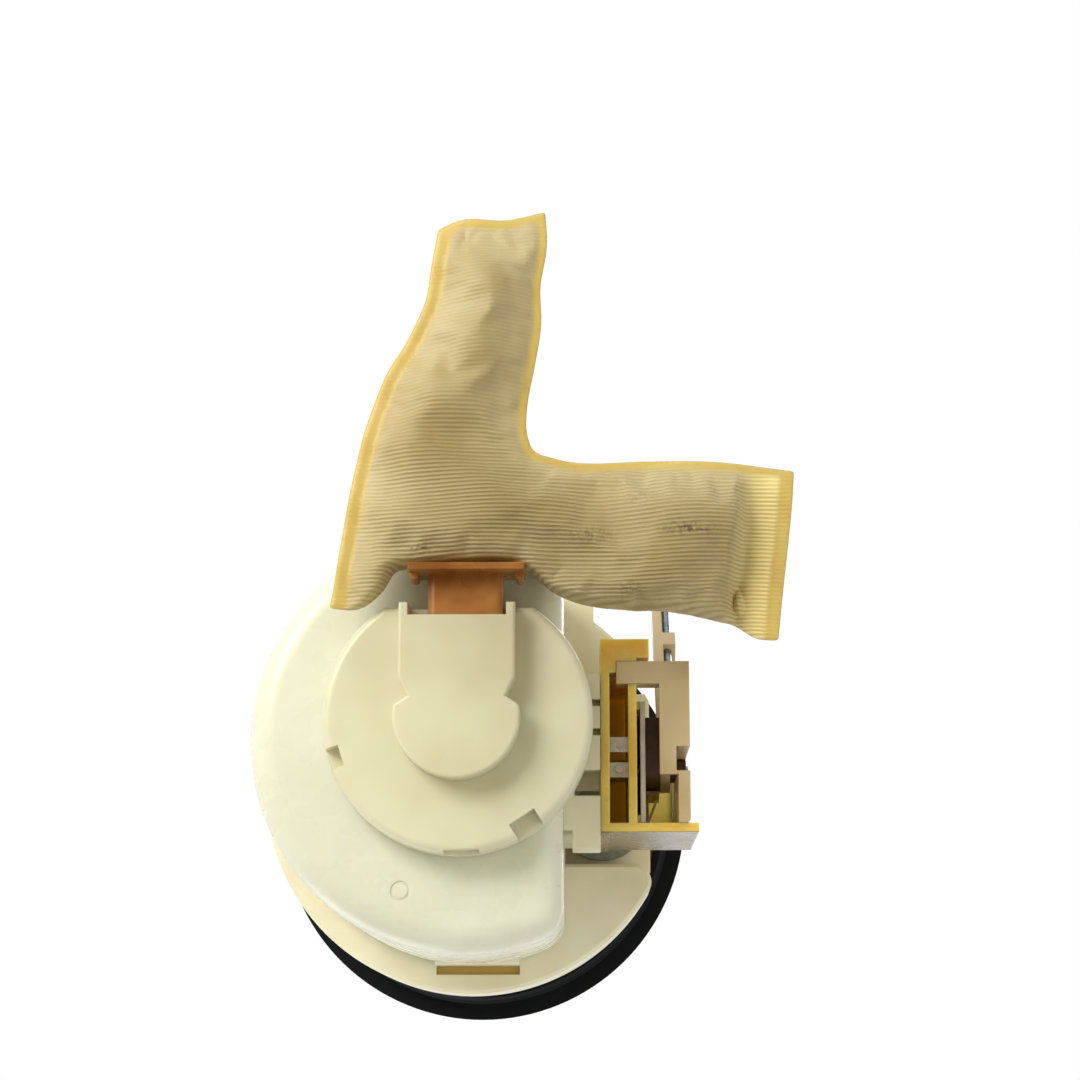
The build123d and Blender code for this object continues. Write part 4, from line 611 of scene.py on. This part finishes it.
# Shares for the material: how taut the cloth is, where it is scuffed, its flat end, which gets painted
# light, and the way from the weld in millimetres.
near_weld = np.clip(0.55 - np.minimum.reduce(clear[:3]) / 0.010, 0, 1)
taut = np.clip((-0.072 - y) / 0.034, 0, 0.75) + near_weld
flat_end = np.clip(1.2 - clear[3] / 0.0095, 0, 1)
scuffed = dent(1.0, 0.0600, -0.0551, 0.0060, 0.0014) + dent(0.8, 0.0345, -0.0545, 0.0050, 0.0016)
scuffed += dent(0.7, 0.0475, -0.0640, 0.0030, 0.0010) + dent(1.0, -0.0095, -0.0508, 0.0030, 0.0012)
scuffed += dent(0.8, 0.0440, -0.0400, 0.0030, 0.0014)
for mark, values in (("from_weld", from_weld * 1000), ("flat_end", flat_end), ("taut", taut),
                     ("scuffed", scuffed)):
    painted_on = bag_mesh.attributes.new(mark, "FLOAT", "POINT")
    painted_on.data.foreach_set("value", on_both(values).astype(np.float32))

# The rim stays sharp when the cloth is rounded.
ends = np.empty(len(bag_mesh.edges) * 2, int)
bag_mesh.edges.foreach_get("vertices", ends)
ends = ends.reshape(-1, 2)
apart = np.abs(ends[:, 1] - ends[:, 0])
hard = (ends < rim).all(axis=1) & (apart % (rim - 2) == 1)
crease = bag_mesh.attributes.new("crease_edge", "FLOAT", "EDGE")
crease.data.foreach_set("value", hard.astype(np.float32))
bag = bpy.data.objects.new("strainer_bag_cloth", bag_mesh)
bpy.context.scene.collection.objects.link(bag)

# Air pressure from inside puffs the cloth for 20 frames, with the weld, the mouth and the flat end
# held still.  No point may move further than the cloth's slack.
FRAMES = 20
SLACK = 0.0014
MOUTH_X, MOUTH_HALF, MOUTH_Y = 0.0024, 0.0165, -0.0505
STILL_END, STILL_WELD = 0.0075, 0.0003
held = bag.vertex_groups.new(name="held")
at_mouth = (np.abs(bag_plan[:, 0] - MOUTH_X) < MOUTH_HALF) & (bag_plan[:, 1] > MOUTH_Y)
at_end = on_both(clear[3]) < STILL_END
at_weld = (on_both(from_weld) < STILL_WELD) | (np.arange(len(bag_plan)) < rim)
held.add(np.flatnonzero(at_weld | at_mouth | at_end).tolist(), 1.0, "REPLACE")
before = np.empty(len(bag_mesh.vertices) * 3)
bag_mesh.vertices.foreach_get("co", before)
puff = bag.modifiers.new("puff", "CLOTH")
puff.settings.quality = 6
puff.settings.mass = 0.05
puff.settings.tension_stiffness = 12.0
puff.settings.compression_stiffness = 4.0
puff.settings.shear_stiffness = 4.0
puff.settings.bending_stiffness = 4.0
puff.settings.use_pressure = True
puff.settings.uniform_pressure_force = 4.0
puff.settings.shrink_min = -0.03
puff.settings.vertex_group_mass = "held"
puff.settings.effector_weights.gravity = 0.0
puff.point_cache.frame_start = 1
puff.point_cache.frame_end = FRAMES
for moment in range(1, FRAMES + 1):
    bpy.context.scene.frame_set(moment)
puffed = bag.evaluated_get(bpy.context.evaluated_depsgraph_get())
after = np.empty(len(before))
puffed.to_mesh().vertices.foreach_get("co", after)
puffed.to_mesh_clear()
bag.modifiers.remove(puff)
bpy.context.scene.frame_set(1)
move = (after - before).reshape(-1, 3)
reach = np.linalg.norm(move, axis=1, keepdims=True)
move *= np.minimum(1.0, SLACK / np.maximum(reach, 1e-9))
bag_mesh.vertices.foreach_set("co", (before.reshape(-1, 3) + move).ravel())

rounder = bag.modifiers.new("rounder", "SUBSURF")
rounder.levels = 1
rounder.render_levels = 1
bag_mesh.polygons.foreach_set("use_smooth", np.ones(len(bag_mesh.polygons), bool))

# Ribbed mesh: woven ribs with painted shade in their valleys, fine threads across them, soil, a few scuffs,
# painted light on the flat end of the leg, and the amber strip of the weld, in which the ribs are pressed
# shallow.
RIB_PITCH = 0.00108
THREAD_PITCH = 0.00016
RIB_HEIGHT = 0.00018
THREAD_HEIGHT = 0.000012
mesh_cloth, shader, place = start_material("ribbed_mesh_cloth")
cloth_nodes, cloth_links = mesh_cloth.node_tree.nodes, mesh_cloth.node_tree.links
plan_place = cloth_nodes.new("ShaderNodeUVMap")
plan_place.uv_map = "cloth_plan"
wander = cloud(mesh_cloth, plan_place.outputs["UV"], 0.55, 1.0)
bend = cloth_nodes.new("ShaderNodeCombineXYZ")
cloth_links.new(between(mesh_cloth, wander, 0.25, 0.75, -0.014, 0.014), bend.inputs["Y"])
bent = cloth_nodes.new("ShaderNodeVectorMath")
cloth_links.new(plan_place.outputs["UV"], bent.inputs[0])
cloth_links.new(bend.outputs["Vector"], bent.inputs[1])


def rib_bands(pitch, direction):
    """Sine ribs of the given pitch in metres, laid on the cloth's scaled map."""
    bands = cloth_nodes.new("ShaderNodeTexWave")
    bands.wave_type = "BANDS"
    bands.bands_direction = direction
    bands.wave_profile = "SIN"
    bands.inputs["Scale"].default_value = 2 * np.pi / 20.0 / (pitch * MAP_SCALE)
    bands.inputs["Distortion"].default_value = 0.0
    cloth_links.new(bent.outputs["Vector"], bands.inputs["Vector"])
    return bands.outputs["Fac"]


def marked(mark):
    """Share painted on the cloth's points under the given name."""
    node = cloth_nodes.new("ShaderNodeAttribute")
    node.attribute_name = mark
    return node.outputs["Fac"]


ribs = rib_bands(RIB_PITCH, "Y")
threads = rib_bands(THREAD_PITCH, "X")
soil = cloud(mesh_cloth, place, 0.028, 3.0)
cloth_tone = blend_colours(mesh_cloth, between(mesh_cloth, soil, 0.36, 0.66, 0.0, 1.0),
                           linear(202, 187, 140), linear(186, 168, 118))
# Painted light: the flat end of the leg is made much lighter, as if lit through the thin cloth.
cloth_tone = blend_colours(mesh_cloth, marked("flat_end"), cloth_tone, linear(250, 230, 152))
rib_depth = between(mesh_cloth, marked("taut"), 0.0, 0.8, 1.0, 0.25)
# Painted shade in the rib valleys, weaker where the cloth is taut and on the flat end.
valley_shade = product(mesh_cloth, between(mesh_cloth, ribs, 0.05, 0.75, 0.55, 0.0), rib_depth)
valley_shade = product(mesh_cloth, valley_shade, between(mesh_cloth, marked("flat_end"), 0.0, 1.0, 1.0, 0.85))
welded = between(mesh_cloth, marked("from_weld"), -0.9, 0.4, 1.0, 0.0)
cloth_tone = blend_colours(mesh_cloth, valley_shade, cloth_tone, linear(150, 126, 72))
scuff = between(mesh_cloth, cloud(mesh_cloth, place, 0.0011, 3.0, 0.7), 0.46, 0.58, 0.0, 0.85)
cloth_tone = blend_colours(mesh_cloth, product(mesh_cloth, scuff, marked("scuffed")), cloth_tone,
                           linear(84, 68, 56))
weld_tone = blend_colours(mesh_cloth, cloud(mesh_cloth, place, 0.012, 3.0), linear(212, 188, 106),
                          linear(201, 172, 84))
tone = blend_colours(mesh_cloth, welded, cloth_tone, weld_tone)
cloth_links.new(tone, shader.inputs["Base Color"])
cloth_links.new(between(mesh_cloth, welded, 0.0, 1.0, 0.5, 0.36), shader.inputs["Roughness"])
fading = product(mesh_cloth, between(mesh_cloth, welded, 0.0, 1.0, 1.0, 0.45), rib_depth)
relief(mesh_cloth, shader, [(product(mesh_cloth, ribs, fading), RIB_HEIGHT), (threads, THREAD_HEIGHT)])
shader.inputs["Subsurface Weight"].default_value = 0.2
shader.inputs["Subsurface Radius"].default_value = (1.0, 0.7, 0.3)
shader.inputs["Subsurface Scale"].default_value = 0.0015
shader.inputs["Sheen Weight"].default_value = 0.1
bag_mesh.materials.append(mesh_cloth)
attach(bag, "pump_unit")
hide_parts("strainer_bag")

# ---------------------------------------------------------------- pressure regulator
# Deep-drawn steel can crimped over a brass body, with a rubber diaphragm and a sprung valve plate
# between them.  It is sealed in the carrier by an O-ring and held there by a snap clip.
drawn_steel = bare_metal("drawn_steel", linear(158, 161, 166), linear(132, 134, 138), 0.32,
                         along=(1.0, 1.0, 6.0))
coat(drawn_steel, "regulator_can", "regulator_valve")
brass = bare_metal("brass", linear(186, 160, 98), linear(150, 124, 70), 0.32)
coat(brass, "regulator_body")

# ---------------------------------------------------------------- level sender
# The bracket is natural acetal and the frame amber polyamide, with painted light in its upper half, as if
# lit through its thin walls, and painted shade on its outer wall; the cover is tan.  The ceramic card
# carries the track that the wiper runs on.
FRAME_PAINTED_LIGHT_Z = (-0.142, -0.090)
FRAME_PAINTED_SHADE_Y = (0.0193, 0.0215)
amber_frame = moulded_plastic("amber_frame", linear(236, 202, 106), linear(222, 178, 78), 0.26, flow=0.02,
                              glow=0.9, glow_depth=0.006)
here = node_of(amber_frame, "TEX_COORD").outputs["Object"]
# Painted light: the frame's upper half is made paler, as if lit through its thin walls.
painted(amber_frame, within(amber_frame, here, "Z", *FRAME_PAINTED_LIGHT_Z, 0.004), linear(250, 222, 138))
# Painted shade: the outer wall of the frame's rail is darkened.
painted(amber_frame, within(amber_frame, here, "Y", *FRAME_PAINTED_SHADE_Y), linear(132, 119, 92))
coat(natural_acetal, "sender_bracket")
coat(amber_frame, "sender_frame")
cover_acetal = moulded_plastic("cover_acetal", linear(196, 175, 132), linear(182, 157, 112), 0.34, glow=0.3)
coat(cover_acetal, "sender_cover", "arm_clip")
hub_polyamide = moulded_plastic("hub_polyamide", linear(84, 54, 28), linear(62, 38, 18), 0.34, flow=0.006)
coat(hub_polyamide, "arm_hub")
alumina = moulded_plastic("alumina_card", linear(228, 226, 216), linear(206, 204, 194), 0.5, flow=0.006)
coat(alumina, "resistor_card")
nickel_silver = bare_metal("nickel_silver", linear(170, 152, 118), linear(120, 104, 76), 0.3)
coat(nickel_silver, "contact_wiper")
arm_steel = bare_metal("arm_steel", linear(152, 158, 166), linear(104, 108, 114), 0.24)
coat(arm_steel, "arm_wire")
float_foam = moulded_plastic("float_foam", linear(40, 39, 37), linear(58, 56, 53), 0.72, flow=0.006,
                             spots=linear(20, 19, 18))
coat(float_foam, "float")
